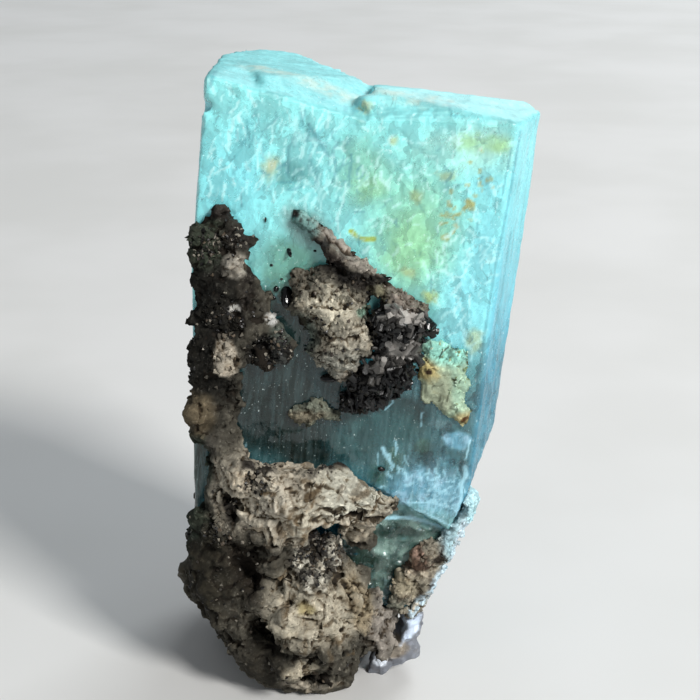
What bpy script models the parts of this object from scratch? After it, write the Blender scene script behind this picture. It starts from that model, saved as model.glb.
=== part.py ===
"""Aquamarine crystal standing in its feldspar matrix, with black tourmaline. Metres, +Z up, resting on z = 0."""

import math
from typing import NamedTuple

import bmesh
import bpy
from mathutils import Euler, Matrix, Vector

MM = 0.001

# Driving dimensions, in millimetres and degrees. The crystal's own frame has x across the broad
# front face, y back through its thickness and z up along its length, with z = 0 near its foot.
LEAN = 6.0  # the crystal's length leans this far towards +X
THICKNESS = 22.0  # from the front prism face to the back one
TOP = 64.6  # height of the upper terrace of the end face
FOOT = 2.0  # the crystal's broken lower end, inside the matrix
BASE = -8.6  # height of the flat base, from the crystal frame's origin
MIDDLE = (5.14, 8.65)  # x and y of the middle of the whole specimen, from the crystal frame's origin
GAP = 0.3  # clearance between two pieces that grew together
FAR = 200.0  # size of the block that a crystal or a cutter is cut from

CLEAR = ("aquamarine", (0.42, 0.80, 0.82), 0.18)
CREAM = ("feldspar", (0.58, 0.53, 0.45), 0.85)
GREY = ("feldspar_crust", (0.42, 0.40, 0.35), 0.85)
BLACK = ("black_tourmaline", (0.02, 0.02, 0.02), 0.35)
OCHRE = ("stained_feldspar", (0.62, 0.55, 0.36), 0.80)
WHITE = ("white_feldspar", (0.78, 0.80, 0.80), 0.45)


class Plane(NamedTuple):
    """A flat face: a point on it, and its outward normal as a bearing from +X and a rise, in degrees."""

    point: tuple
    bearing: float
    rise: float = 0.0

    def normal(self):
        flat = math.cos(math.radians(self.rise))
        bearing = math.radians(self.bearing)
        return Vector((flat * math.cos(bearing), flat * math.sin(bearing), math.sin(math.radians(self.rise))))


def above(point, along_x, along_y):
    """The lower face of a cutter that takes all above a slope, which climbs by these gradients in x and y."""
    gradient = math.hypot(along_x, along_y)
    return Plane(point, math.degrees(math.atan2(along_y, along_x)), -90.0 + math.degrees(math.atan(gradient)))


def below(point, along_x, along_y):
    """The upper face of a cutter that takes all below such a slope."""
    upper = above(point, along_x, along_y)
    return Plane(point, upper.bearing + 180.0, -upper.rise)


class Lump(NamedTuple):
    """An ellipsoid of grown rock: its centre, its half sizes and its turn about y."""

    x: float
    y: float
    z: float
    wide: float
    deep: float
    tall: float
    turn: float = 0.0


class Block(NamedTuple):
    """A flat-sided grain: its centre, its half sizes and its turns about x, y and z."""

    centre: tuple
    half: tuple
    turns: tuple


PRISM = (
    Plane((0.0, 0.0, 0.0), -90.0),
    Plane((16.4, 0.0, 0.0), -60.0),
    Plane((17.3, 0.5, 0.0), -30.0),
    Plane((20.0, 5.2, 0.0), 30.0),
    Plane((0.0, THICKNESS, 0.0), 90.0),
    Plane((-17.0, 15.0, 0.0), 150.0),
    Plane((-17.6, 0.6, 0.0), 177.0),
    Plane((-17.3, 0.0, 0.0), 210.0),
)
BREAK = Plane((16.9, 0.0, 16.8), 0.0, -18.4)  # the broken lower right corner
ENDS = (
    Plane((0.0, 0.0, TOP), 0.0, 90.0),
    Plane((0.0, 0.0, FOOT), 0.0, -90.0),
    BREAK,
    Plane((-17.7, 0.0, 45.0), 180.0, -4.7),  # the left edge tapers to the foot
)
# Each cutter below is the space inside its planes. The end face has a high terrace on the left. On its
# right, beyond a step along a prism direction, it falls away to the back.
BACK_SLOPE = (
    above((0.0, 6.2, 64.4), 0.0, -0.262),
    Plane((0.9, 6.0, 64.4), 210.0),
)
RIGHT_SHOULDER = (
    above((9.7, 1.5, 63.7), -0.065, 0.155),
    Plane((0.2, 0.0, 64.0), 205.0),
)
# The front edge of the end face is worn to bevels that meet in a shallow notch.
LEFT_BEVEL = (
    above((-8.0, 0.0, 62.9), -0.178, 0.356),
    Plane((0.9, 0.0, 62.0), 0.0),
)
LEFT_SHOULDER = (
    above((-12.1, 0.0, 63.6), -0.19, 0.073),
    Plane((-10.8, 0.0, 63.0), 15.0),
)
RIGHT_BEVEL = (
    above((0.2, 0.0, 61.5), 0.083, 1.32),
    Plane((0.2, 0.0, 61.5), 180.0),
)
# Low on the right, the front face is broken back below a ledge.
LEDGE = (
    below((9.2, 0.0, 16.1), -0.485, -0.1),
    Plane((8.0, 1.8, 15.0), 90.0, -6.0),
    Plane((3.2, 0.0, 10.0), 190.0, 10.0),
    Plane((0.0, 0.0, 3.0), 0.0, -90.0),
)
# Growth steps that run down the back and left-back faces.
BACK_STEPS = (
    (Plane((4.0, 0.0, 0.0), 182.0), Plane((0.0, 21.3, 0.0), 270.5), Plane((13.5, 0.0, 0.0), 1.5)),
    (Plane((-12.0, 0.0, 0.0), 0.0, 2.0), Plane((0.0, 21.1, 0.0), 270.0), above((0.0, 0.0, 31.0), 0.0, 0.1)),
)

TONGUE = (
    Lump(-5.0, -3.4, 18.2, 3.1, 3.6, 3.0),
    Lump(-2.0, -3.8, 18.4, 3.0, 3.8, 3.0),
    Lump(1.0, -3.2, 18.5, 3.0, 3.4, 3.0),
    Lump(3.8, -2.6, 17.9, 2.8, 2.9, 2.5, 8.0),
    Lump(6.3, -1.9, 17.2, 2.3, 2.4, 1.8, 14.0),
    Lump(7.9, -1.3, 16.7, 1.5, 1.8, 1.2, 16.0),
    Lump(5.2, -2.2, 15.2, 3.0, 2.4, 1.1, -6.0),
    Lump(1.6, -2.2, 15.4, 2.4, 2.2, 1.6),
    Lump(-5.6, -3.8, 15.6, 2.5, 3.6, 2.9),
    Lump(-4.8, -4.3, 13.5, 2.2, 3.2, 2.4),
    Lump(-2.8, -4.2, 15.2, 2.6, 3.5, 2.6),
    Lump(-1.0, -3.8, 16.2, 2.3, 3.2, 2.3),
    Lump(-2.4, -3.9, 12.8, 1.9, 2.9, 2.0),
    Lump(5.0, -1.0, 12.0, 1.5, 1.9, 1.7),
    Lump(3.9, -1.2, 13.4, 1.5, 1.9, 1.2),
)
NODULES = (
    Lump(-9.8, -3.0, 19.4, 2.4, 3.2, 2.4),
    Lump(-7.6, -2.4, 17.8, 2.3, 3.0, 2.8),
    Lump(-11.8, -1.6, 21.6, 1.7, 2.4, 1.5),
    Lump(-13.2, -1.2, 23.0, 1.4, 2.2, 1.4),
    Lump(-12.0, -0.7, 24.2, 1.2, 1.5, 2.3, -35.0),
    Lump(-12.4, -0.9, 19.4, 1.6, 2.2, 2.8),
    Lump(-11.4, -1.6, 16.4, 2.3, 2.6, 3.2),
    Lump(-8.4, -2.4, 14.6, 2.2, 2.7, 2.9),
)
FRONT_FOOT = (
    Lump(0.5, -2.6, 3.4, 5.6, 5.6, 5.2),
    Lump(-3.4, -4.2, 3.4, 3.1, 3.5, 3.0),
    Lump(3.0, -4.4, 4.6, 3.0, 3.2, 2.9),
    Lump(4.2, -3.8, 0.8, 2.7, 3.2, 2.5),
    Lump(0.0, -5.6, 6.6, 2.9, 2.8, 2.2),
    Lump(-1.0, -6.2, 0.8, 2.9, 2.7, 2.3),
    Lump(-2.1, -4.6, -3.4, 2.9, 3.0, 2.0),
    Lump(1.6, -4.8, -3.3, 2.3, 2.8, 2.0),
    Lump(3.8, -3.8, -2.5, 2.1, 2.7, 2.2),
    Lump(-2.6, -2.0, -6.8, 3.9, 3.5, 2.3),
    Lump(1.4, -2.2, -7.4, 3.0, 3.2, 2.1),
    Lump(4.0, -1.8, -7.2, 2.4, 2.8, 2.0),
    Lump(5.0, -1.8, -4.4, 1.9, 2.8, 2.6),
    Lump(0.0, -2.4, 9.3, 3.4, 3.3, 2.7),
    Lump(-2.5, -3.0, 8.4, 2.4, 2.7, 2.4),
    Lump(2.6, -2.2, 7.6, 2.0, 2.5, 2.3),
    Lump(4.7, -2.4, 5.4, 1.2, 2.7, 3.0, 35.0),
    Lump(6.3, -1.8, 3.0, 1.1, 2.5, 3.1, 38.0),
    Lump(7.0, -1.2, 0.2, 1.9, 2.7, 2.2, 30.0),
)
LEFT_FLANK = (
    Lump(-12.6, -1.8, 12.0, 2.5, 3.4, 2.2),
    Lump(-10.3, -3.0, 12.3, 2.3, 3.0, 2.1),
    Lump(-13.4, -0.4, 8.4, 2.5, 4.4, 2.9),
    Lump(-12.2, -1.0, 5.0, 2.8, 4.6, 2.9),
    Lump(-10.8, -1.4, 1.8, 2.7, 4.6, 2.7),
    Lump(-8.6, -2.2, 0.0, 2.8, 4.2, 2.7),
    Lump(-6.9, -2.4, -2.5, 3.0, 4.0, 2.6),
    Lump(-5.0, -1.8, -5.2, 2.8, 3.8, 2.6),
    Lump(-9.5, -2.6, 8.3, 2.9, 3.0, 3.0),
    Lump(-6.6, -2.8, 8.0, 3.0, 2.8, 3.0),
    Lump(-7.0, -3.2, 4.4, 3.0, 3.4, 3.0),
    Lump(-4.6, -3.2, 9.6, 2.3, 2.9, 2.3),
)
LEFT_RIDGE = (
    Lump(-14.9, 0.2, 26.4, 2.1, 3.4, 2.4),
    Lump(-14.9, 0.2, 23.6, 1.6, 2.8, 1.7),
    Lump(-14.4, -0.2, 30.0, 2.5, 2.4, 3.1),
    Lump(-12.4, -0.2, 29.2, 1.8, 1.6, 2.7, -20.0),
    Lump(-11.2, -0.1, 27.3, 1.0, 1.2, 1.8, -25.0),
    Lump(-14.4, -0.3, 33.6, 2.6, 2.6, 3.1),
    Lump(-12.8, -1.9, 33.5, 1.9, 2.2, 2.9, 8.0),
    Lump(-10.9, -0.4, 34.6, 1.5, 1.6, 2.6),
    Lump(-14.2, -0.4, 37.2, 2.9, 2.5, 3.1),
    Lump(-11.4, -0.5, 38.2, 2.0, 1.7, 2.6),
    Lump(-14.2, -0.4, 40.6, 2.8, 2.5, 3.0),
    Lump(-11.8, -0.4, 41.6, 1.9, 1.7, 2.5),
    Lump(-15.4, 0.1, 43.6, 2.5, 2.7, 2.8),
    Lump(-15.7, 0.2, 46.6, 2.3, 2.7, 2.9),
    Lump(-12.6, -1.3, 44.1, 1.6, 1.9, 1.8),
    Lump(-14.9, -0.6, 50.6, 1.4, 1.5, 1.3),
    Lump(-14.1, -0.5, 48.9, 1.3, 1.4, 1.4),
    Lump(-13.1, -0.4, 47.2, 1.5, 1.4, 1.6),
    Lump(-11.7, -0.3, 46.5, 1.4, 1.2, 1.0),
    Lump(-10.3, -0.2, 46.9, 1.2, 1.0, 0.8),
    Lump(-8.6, -0.6, 37.6, 1.4, 1.4, 1.2),
    Lump(-9.2, -0.1, 39.4, 1.0, 0.8, 1.7, 15.0),
)
RIGHT_FLANK = (
    Lump(8.9, -0.4, 0.4, 2.1, 2.4, 2.0),
    Lump(10.2, 0.4, -1.2, 1.8, 2.6, 1.5),
    Lump(9.0, 1.6, -0.6, 2.8, 3.8, 2.2),
    Lump(8.0, 0.6, -2.6, 2.4, 3.6, 1.7, 12.0),
)
UNDERSIDE = (
    Lump(-1.0, 7.5, -4.2, 10.5, 10.5, 7.4),
    Lump(-5.5, 10.0, -3.5, 7.5, 10.5, 7.2),
    Lump(3.0, 15.0, -3.5, 8.5, 7.5, 7.2),
)
BACK_WALL = (
    Lump(-9.0, 21.0, 4.0, 6.5, 4.6, 9.0),
    Lump(-1.0, 22.0, 3.0, 7.5, 4.2, 9.5),
    Lump(6.0, 20.5, 1.0, 5.5, 4.5, 7.0),
    Lump(-10.5, 21.8, 14.0, 4.8, 3.4, 7.0, 12.0),
    Lump(-3.5, 22.6, 13.0, 5.0, 3.0, 6.0),
    Lump(-11.5, 20.6, 22.5, 3.4, 3.2, 5.5, -10.0),
    Lump(-6.5, 22.4, 21.5, 3.0, 2.2, 4.2, 15.0),
    Lump(-13.6, 16.0, 9.0, 2.6, 6.0, 7.5),
    Lump(-12.0, 9.0, 1.0, 4.0, 9.0, 5.0),
)
CRATER = Lump(-8.3, -0.4, 35.0, 1.7, 1.7, 2.5)  # the ring-shaped knob beside the left ridge
CRATER_LUMPS = 11
CRATER_RIM = 0.9
HOLLOWS = (
    Lump(-8.6, -6.2, 7.2, 2.2, 2.6, 2.9, 15.0),
    Lump(2.2, -4.6, 13.0, 2.3, 2.8, 1.3),
    Lump(-6.6, -7.4, 11.4, 1.2, 3.0, 1.3),
    Lump(3.0, -5.4, 16.2, 1.9, 1.7, 0.5),
    Lump(-8.1, -2.6, 34.6, 1.3, 1.7, 1.8),
)
PLATES = (
    Block((-1.6, -7.4, -4.0), (1.5, 0.9, 1.1), (10.0, 12.0, 5.0)),
    Block((8.4, -1.4, -1.6), (2.9, 2.2, 0.8), (0.0, 20.0, 8.0)),
    Block((-12.4, -2.6, 10.2), (0.9, 0.9, 1.2), (0.0, 30.0, 20.0)),
)

CRUST = (
    Lump(-5.6, -0.2, 50.5, 1.1, 1.2, 0.8, 35.0),
    Lump(-4.3, -0.1, 49.5, 1.4, 1.1, 0.9, 40.0),
    Lump(-3.0, -0.3, 48.0, 1.5, 1.4, 1.3, 40.0),
    Lump(-1.6, -0.9, 46.6, 2.0, 1.9, 1.5, 30.0),
    Lump(0.3, -1.1, 45.7, 2.0, 2.0, 1.4, 20.0),
    Lump(2.2, -1.0, 45.1, 2.0, 1.9, 1.3, 20.0),
    Lump(4.0, -0.6, 43.8, 2.2, 1.7, 1.6, 30.0),
    Lump(-4.4, -0.6, 42.2, 2.1, 1.9, 1.9),
    Lump(-4.6, -0.7, 40.2, 1.8, 1.9, 1.5),
    Lump(-2.0, -0.9, 42.6, 2.3, 2.2, 1.9),
    Lump(-2.0, -1.3, 40.2, 2.4, 2.4, 2.1),
    Lump(0.8, -0.9, 42.4, 2.3, 2.1, 2.0),
    Lump(1.2, -1.4, 39.0, 2.6, 2.5, 2.4),
    Lump(-1.0, -1.1, 37.4, 2.2, 2.2, 2.0),
    Lump(-1.8, -0.8, 35.0, 1.7, 1.9, 2.0),
    Lump(0.6, -1.0, 35.2, 2.2, 2.1, 2.3),
    Lump(2.8, -0.9, 36.4, 2.1, 2.1, 2.6),
    Lump(1.2, -0.6, 32.6, 2.2, 1.7, 1.5),
    Lump(3.2, -0.5, 32.4, 1.8, 1.6, 1.7),
    Lump(5.8, -0.7, 42.2, 2.0, 1.7, 1.6),
    Lump(7.4, -0.9, 41.8, 2.0, 1.8, 1.7),
    Lump(8.2, -0.5, 40.6, 1.5, 1.4, 1.4),
    Lump(5.6, -0.5, 38.0, 2.6, 1.5, 3.4),
    Lump(-4.2, -0.1, 38.0, 1.2, 1.1, 1.4),
)
STAIN = (
    Lump(11.2, 0.1, 33.4, 2.2, 1.4, 2.4),
    Lump(13.4, 0.1, 32.2, 2.3, 1.4, 3.0),
    Lump(11.4, 0.2, 30.6, 2.0, 1.2, 2.0),
    Lump(13.8, 0.2, 35.2, 1.8, 1.2, 1.9),
    Lump(11.6, 0.2, 35.9, 1.9, 1.2, 1.5),
    Lump(10.2, 0.2, 36.2, 1.3, 1.0, 1.2),
    Lump(13.9, 0.1, 29.4, 1.8, 1.3, 1.8),
    Lump(15.3, 0.1, 28.3, 1.3, 1.4, 1.4),
)
FLAKE = (
    Lump(-4.0, 0.0, 27.2, 1.7, 1.2, 1.1, 20.0),
    Lump(-2.2, -0.1, 28.2, 1.8, 1.3, 1.4),
    Lump(-0.6, 0.1, 27.8, 1.6, 1.1, 1.1),
)
RECESS_CRUST = (
    Lump(10.3, 0.6, 2.2, 1.7, 1.7, 1.8),
    Lump(11.3, 0.8, 4.2, 1.7, 1.8, 1.8),
    Lump(11.8, 0.9, 6.2, 1.7, 1.8, 1.8),
    Lump(12.8, 0.9, 8.2, 1.8, 1.9, 1.7),
    Lump(14.0, 0.8, 9.6, 1.7, 2.1, 1.5),
    Lump(15.4, 0.8, 10.2, 1.4, 2.2, 1.2),
    Lump(13.4, 0.9, 6.0, 1.5, 1.9, 1.8),
)
# The white crust runs up the broken corner in a row of lumps, from this height to that one.
EDGE_CRUST_SPAN = (1.4, 16.4)
EDGE_CRUST_LUMPS = 9
EDGE_CRUST_LUMP = Lump(0.75, 2.6, 0.0, 1.3, 3.2, 1.5, -18.4)  # its x is the distance from the break

# Black tourmaline grows as short prisms that point every way. Each heap has its place and how many.
TOURMALINE_HEAPS = (
    (Lump(5.8, -1.6, 38.4, 2.0, 0.9, 2.6), 26),
    (Lump(8.0, -1.1, 39.0, 1.2, 0.7, 1.3), 9),
    (Lump(7.0, -1.3, 35.6, 1.3, 0.8, 2.0), 12),
    (Lump(5.8, -1.4, 32.6, 2.0, 0.9, 1.8), 20),
    (Lump(4.0, -1.2, 30.8, 1.7, 0.8, 1.3), 12),
    (Lump(2.7, -0.9, 29.2, 0.9, 0.5, 0.7), 6),
)
TOURMALINE_RADIUS = 0.95
TOURMALINE_LENGTH = 2.7
TOURMALINE_SIDES = 6

# The white feldspar blades that prop the foot on the right.
BLADES = (
    Block((12.3, 2.2, -1.6), (1.0, 1.7, 3.2), (4.0, 10.0, 18.0)),
    Block((11.4, 2.0, -4.9), (2.4, 2.1, 1.3), (-8.0, -32.0, 8.0)),
    Block((9.5, 1.6, -6.9), (1.2, 1.6, 2.6), (0.0, 12.0, -12.0)),
)


def clear_scene():
    """Removes what the start-up file holds."""
    for found in list(bpy.data.objects):
        bpy.data.objects.remove(found)


def material(finish):
    """The Principled material of a finish (name, colour, roughness), made once."""
    name, colour, roughness = finish
    made = bpy.data.materials.get(name)
    if made is None:
        made = bpy.data.materials.new(name)
        made.use_nodes = True
        shader = made.node_tree.nodes["Principled BSDF"]
        shader.inputs["Base Color"].default_value = (*colour, 1.0)
        shader.inputs["Roughness"].default_value = roughness
        shader.inputs["Metallic"].default_value = 0.0
    return made


def collection(name):
    """A new collection in the scene."""
    made = bpy.data.collections.new(name)
    bpy.context.scene.collection.children.link(made)
    return made


class Bench:
    """Where the pieces are made: the crystal's frame, the collection of the parts and that of the cutters."""

    def __init__(self):
        self.parts = collection("aquamarine_crystal_on_matrix")
        self.cutters = collection("cutters")
        self.frame = bpy.data.objects.new("crystal_frame", None)
        self.parts.objects.link(self.frame)
        self.frame.rotation_euler = (0.0, math.radians(LEAN), 0.0)
        self.frame.location = (-MIDDLE[0] * MM, -MIDDLE[1] * MM, -BASE * MM)

    def place(self, name, bm, finish=None):
        """Turns a bmesh in the crystal's frame into a part, or into a cutter if it has no finish."""
        mesh = bpy.data.meshes.new(name)
        bm.to_mesh(mesh)
        bm.free()
        made = bpy.data.objects.new(name, mesh)
        made.parent = self.frame
        if finish is None:
            self.cutters.objects.link(made)
            made.hide_render = True
            made.display_type = "WIRE"
        else:
            self.parts.objects.link(made)
            mesh.materials.append(material(finish))
        return made


def evaluated_mesh(thing):
    """The mesh of an object with all its modifiers worked out."""
    bpy.context.view_layer.update()
    return bpy.data.meshes.new_from_object(thing.evaluated_get(bpy.context.evaluated_depsgraph_get()))


def bodies_of(bm):
    """The vertices of each loose body, the largest body first."""
    left = set(bm.verts)
    bodies = []
    while left:
        start = left.pop()
        body = [start]
        for vertex in body:
            for link in vertex.link_edges:
                other = link.other_vert(vertex)
                if other in left:
                    left.remove(other)
                    body.append(other)
        bodies.append(body)
    return sorted(bodies, key=len, reverse=True)


def settle(thing):
    """Applies an object's modifiers and drops the crumbs that the cuts left loose."""
    mesh = evaluated_mesh(thing)
    thing.modifiers.clear()
    thing.data = mesh
    bm = bmesh.new()
    bm.from_mesh(mesh)
    for crumb in bodies_of(bm)[1:]:
        bmesh.ops.delete(bm, geom=crumb, context="VERTS")
    bm.to_mesh(mesh)
    bm.free()


def boolean(thing, cutter, operation="DIFFERENCE"):
    """Adds a Boolean modifier."""
    modifier = thing.modifiers.new(cutter.name, "BOOLEAN")
    modifier.operation = operation
    modifier.object = cutter


def inside(planes, grow=0.0):
    """The convex solid inside some planes, each of them moved outwards by grow."""
    bm = bmesh.new()
    bmesh.ops.create_cube(bm, size=FAR * MM)
    for plane in planes:
        normal = plane.normal()
        point = (Vector(plane.point) + normal * grow) * MM
        everything = bm.verts[:] + bm.edges[:] + bm.faces[:]
        cut = bmesh.ops.bisect_plane(bm, geom=everything, plane_co=point, plane_no=normal, clear_outer=True)
        rim = [part for part in cut["geom_cut"] if isinstance(part, bmesh.types.BMEdge)]
        bmesh.ops.contextual_create(bm, geom=rim)
    bmesh.ops.recalc_face_normals(bm, faces=bm.faces[:])
    return bm


def crystal(bench):
    """The aquamarine prism with its worn end face, its broken corner and its growth steps."""
    made = bench.place("aquamarine_crystal", inside(PRISM + ENDS), CLEAR)
    breaks = (BACK_SLOPE, RIGHT_SHOULDER, LEFT_BEVEL, LEFT_SHOULDER, RIGHT_BEVEL, LEDGE) + BACK_STEPS
    for number, planes in enumerate(breaks):
        boolean(made, bench.place(f"crystal_cut_{number}", inside(planes)))
    return made


def crystal_clearance(bench):
    """What the matrix leaves free for the crystal: its outline, a gap wider."""
    made = bench.place("crystal_clearance", inside(PRISM + ENDS, GAP))
    boolean(made, bench.place("ledge_left_solid", inside(LEDGE, -GAP)))
    return made


def add_lump(bm, lump, swell):
    """Adds an ellipsoid to a bmesh."""
    matrix = Matrix.LocRotScale(
        Vector((lump.x, lump.y, lump.z)) * MM,
        Euler((0.0, math.radians(lump.turn), 0.0)),
        Vector((lump.wide + swell, lump.deep + swell, lump.tall + swell)) * MM,
    )
    bmesh.ops.create_icosphere(bm, subdivisions=2, radius=1.0, matrix=matrix)


def add_block(bm, block, swell):
    """Adds a box to a bmesh."""
    matrix = Matrix.LocRotScale(
        Vector(block.centre) * MM,
        Euler([math.radians(turn) for turn in block.turns]),
        Vector([2 * (half + swell) * MM for half in block.half]),
    )
    bmesh.ops.create_cube(bm, size=1.0, matrix=matrix)


def add_prism(bm, centre, turns, swell):
    """Adds a short prism of tourmaline to a bmesh."""
    matrix = Matrix.LocRotScale(centre * MM, turns, None)
    bmesh.ops.create_cone(
        bm,
        cap_ends=True,
        segments=TOURMALINE_SIDES,
        radius1=(TOURMALINE_RADIUS + swell) * MM,
        radius2=(TOURMALINE_RADIUS + swell) * MM,
        depth=(TOURMALINE_LENGTH + 2 * swell) * MM,
        matrix=matrix,
    )


def fuse(thing, voxel):
    """Joins overlapping bodies to one."""
    modifier = thing.modifiers.new("fuse", "REMESH")
    modifier.mode = "VOXEL"
    modifier.voxel_size = voxel * MM


def roughen(thing, kind, size, depth):
    """Displaces a surface by a texture of the given grain size and depth."""
    texture = bpy.data.textures.new(f"{thing.name}_{kind.lower()}", kind)
    texture.noise_scale = size * MM
    modifier = thing.modifiers.new(kind.lower(), "DISPLACE")
    modifier.texture = texture
    modifier.texture_coords = "LOCAL"
    modifier.strength = depth * MM
    modifier.mid_level = 0.5


def thin_out(thing, faces):
    """Reduces a mesh to a number of triangles."""
    now = sum(len(polygon.vertices) - 2 for polygon in evaluated_mesh(thing).polygons)
    modifier = thing.modifiers.new("thin_out", "DECIMATE")
    modifier.ratio = min(1.0, faces / now)


def rock(bench, name, grains, finish, voxel, grain, depth, faces, swell=0.0):
    """One grown mass: overlapping grains fused together, roughened and reduced to a number of faces."""
    bm = bmesh.new()
    for piece in grains:
        if isinstance(piece, Lump):
            add_lump(bm, piece, swell)
        else:
            add_block(bm, piece, swell)
    made = bench.place(name, bm, finish)
    fuse(made, voxel)
    roughen(made, "CLOUDS", 2.6 * grain, 1.4 * depth)
    roughen(made, "VORONOI", grain, depth)
    fuse(made, 0.8 * voxel)
    thin_out(made, faces)
    return made


def crater_rim():
    """The ring of small lumps round the hollow knob, and its floor."""
    rim = [CRATER._replace(y=CRATER.y + 0.6, deep=0.9)]
    for index in range(CRATER_LUMPS):
        angle = 2 * math.pi * index / CRATER_LUMPS
        x = CRATER.x + CRATER.wide * math.cos(angle)
        z = CRATER.z + CRATER.tall * math.sin(angle)
        rim.append(Lump(x, CRATER.y, z, CRATER_RIM, CRATER.deep, CRATER_RIM))
    return tuple(rim)


def edge_crust():
    """The lumps along the broken corner, wider and narrower by turns."""
    low, high = EDGE_CRUST_SPAN
    row = []
    for index in range(EDGE_CRUST_LUMPS):
        z = low + (high - low) * index / (EDGE_CRUST_LUMPS - 1)
        x = BREAK.point[0] + (z - BREAK.point[2]) * math.tan(math.radians(-BREAK.rise))
        swing = math.sin(2.2 * index)
        row.append(
            EDGE_CRUST_LUMP._replace(
                x=x + EDGE_CRUST_LUMP.x,
                y=EDGE_CRUST_LUMP.y + 0.6 * swing,
                z=z,
                wide=EDGE_CRUST_LUMP.wide + 0.25 * swing,
            )
        )
    return tuple(row)


def tourmaline_prisms():
    """The centre and the turns of every short prism, spread through its heap by the golden ratio."""
    golden = (math.sqrt(5.0) - 1.0) / 2.0
    prisms = []
    for heap, count in TOURMALINE_HEAPS:
        for index in range(count):
            out = math.sqrt((index + 0.5) / count)
            round_ = 2 * math.pi * golden * index
            centre = Vector(
                (
                    heap.x + heap.wide * out * math.cos(round_),
                    heap.y + heap.deep * math.sin(2.4 * index),
                    heap.z + heap.tall * out * math.sin(round_),
                )
            )
            prisms.append((centre, Euler((1.7 * index, 2.3 * index + heap.x, 0.9 * index))))
    return prisms


def tourmaline(bench, name, finish, faces, swell=0.0):
    """The heap of short black prisms, fused where they touch."""
    bm = bmesh.new()
    for centre, turns in tourmaline_prisms():
        add_prism(bm, centre, turns, swell)
    made = bench.place(name, bm, finish)
    fuse(made, 0.28)
    thin_out(made, faces)
    return made


def cutter_of(bench, name, lumps, swell):
    """A smooth cutter round some lumps."""
    bm = bmesh.new()
    for lump in lumps:
        add_lump(bm, lump, swell)
    made = bench.place(name, bm)
    fuse(made, 0.5)
    thin_out(made, 900)
    return made


def base_cutter(bench):
    """The ground below the flat base."""
    bm = inside((Plane((0.0, 0.0, 0.0), 0.0, 90.0),))
    made = bench.place("below_base", bm)
    made.parent = None
    return made


def build():
    clear_scene()
    bench = Bench()
    crystal(bench)
    clearance = crystal_clearance(bench)
    ground = base_cutter(bench)

    schorl = tourmaline(bench, "black_tourmaline", BLACK, 1300)
    boolean(schorl, clearance)
    settle(schorl)
    schorl_room = tourmaline(bench, "tourmaline_clearance", None, 1200, GAP + 0.1)

    masses = TONGUE + NODULES + FRONT_FOOT + LEFT_FLANK + LEFT_RIDGE + RIGHT_FLANK + UNDERSIDE + BACK_WALL
    grains = masses + PLATES + crater_rim()
    matrix = rock(bench, "feldspar_matrix", grains, CREAM, 0.5, 1.6, 1.0, 4300)
    boolean(matrix, cutter_of(bench, "hollows", HOLLOWS, 0.0))
    boolean(matrix, clearance)
    boolean(matrix, ground)
    settle(matrix)
    matrix_room = rock(bench, "matrix_clearance", grains, None, 0.6, 1.6, 1.0, 4000, GAP + 0.15)

    crust = rock(bench, "front_crust", CRUST, GREY, 0.4, 1.4, 0.9, 1400)
    for cutter in (clearance, schorl_room, matrix_room):
        boolean(crust, cutter)
    settle(crust)
    crust_room = rock(bench, "crust_clearance", CRUST, None, 0.5, 1.4, 0.9, 1200, GAP + 0.1)

    stain = rock(bench, "stained_patch", STAIN, OCHRE, 0.35, 1.2, 0.5, 460)
    for cutter in (clearance, schorl_room, crust_room):
        boolean(stain, cutter)
    settle(stain)

    flake = rock(bench, "middle_patch", FLAKE, GREY, 0.3, 1.0, 0.6, 300)
    for cutter in (clearance, crust_room, schorl_room, matrix_room):
        boolean(flake, cutter)
    settle(flake)

    edge_grains = RECESS_CRUST + edge_crust()
    edge = rock(bench, "right_edge_crust", edge_grains, CREAM, 0.35, 1.2, 0.9, 800)
    for cutter in (clearance, matrix_room):
        boolean(edge, cutter)
    settle(edge)
    edge_room = rock(bench, "edge_clearance", edge_grains, None, 0.4, 1.2, 0.9, 900, GAP + 0.1)

    blade = rock(bench, "pale_blade", BLADES, WHITE, 0.3, 1.6, 0.3, 400)
    for cutter in (clearance, matrix_room, edge_room, ground):
        boolean(blade, cutter)
    settle(blade)


build()
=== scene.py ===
"""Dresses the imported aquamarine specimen: the prism, its feldspar matrix and crusts, and black tourmaline.

Shapes are placed in millimetres in the crystal's own frame: x runs to the right along its front face, y runs
back from that face, and z runs up along its axis.
"""

import itertools
import logging
import math
from dataclasses import dataclass, replace
from enum import Enum

import bpy
import numpy as np
from mathutils import Euler, Matrix, Vector


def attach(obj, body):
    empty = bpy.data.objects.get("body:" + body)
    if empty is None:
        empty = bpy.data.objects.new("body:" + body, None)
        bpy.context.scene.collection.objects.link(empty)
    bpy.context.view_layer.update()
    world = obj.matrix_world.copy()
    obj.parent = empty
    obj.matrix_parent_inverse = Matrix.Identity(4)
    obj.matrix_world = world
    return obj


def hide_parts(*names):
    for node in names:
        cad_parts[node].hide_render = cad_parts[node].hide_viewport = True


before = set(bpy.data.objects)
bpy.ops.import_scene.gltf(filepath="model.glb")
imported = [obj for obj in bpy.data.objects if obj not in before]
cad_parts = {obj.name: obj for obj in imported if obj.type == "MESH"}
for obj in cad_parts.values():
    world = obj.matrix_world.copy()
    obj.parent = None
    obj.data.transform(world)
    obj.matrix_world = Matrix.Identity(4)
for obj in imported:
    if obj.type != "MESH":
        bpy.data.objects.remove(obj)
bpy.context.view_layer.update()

logging.basicConfig(level=logging.INFO, format="%(message)s")
LOG = logging.getLogger("specimen")

MM = 0.001
CRYSTAL_PLACE = Vector((-5.14, -8.65, 8.6)) * MM
CRYSTAL_TURN = Euler((0.0, math.radians(6.0), 0.0))
CRYSTAL_FRAME = Matrix.LocRotScale(CRYSTAL_PLACE, CRYSTAL_TURN, Vector((MM, MM, MM)))
BODY = "root"
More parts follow.
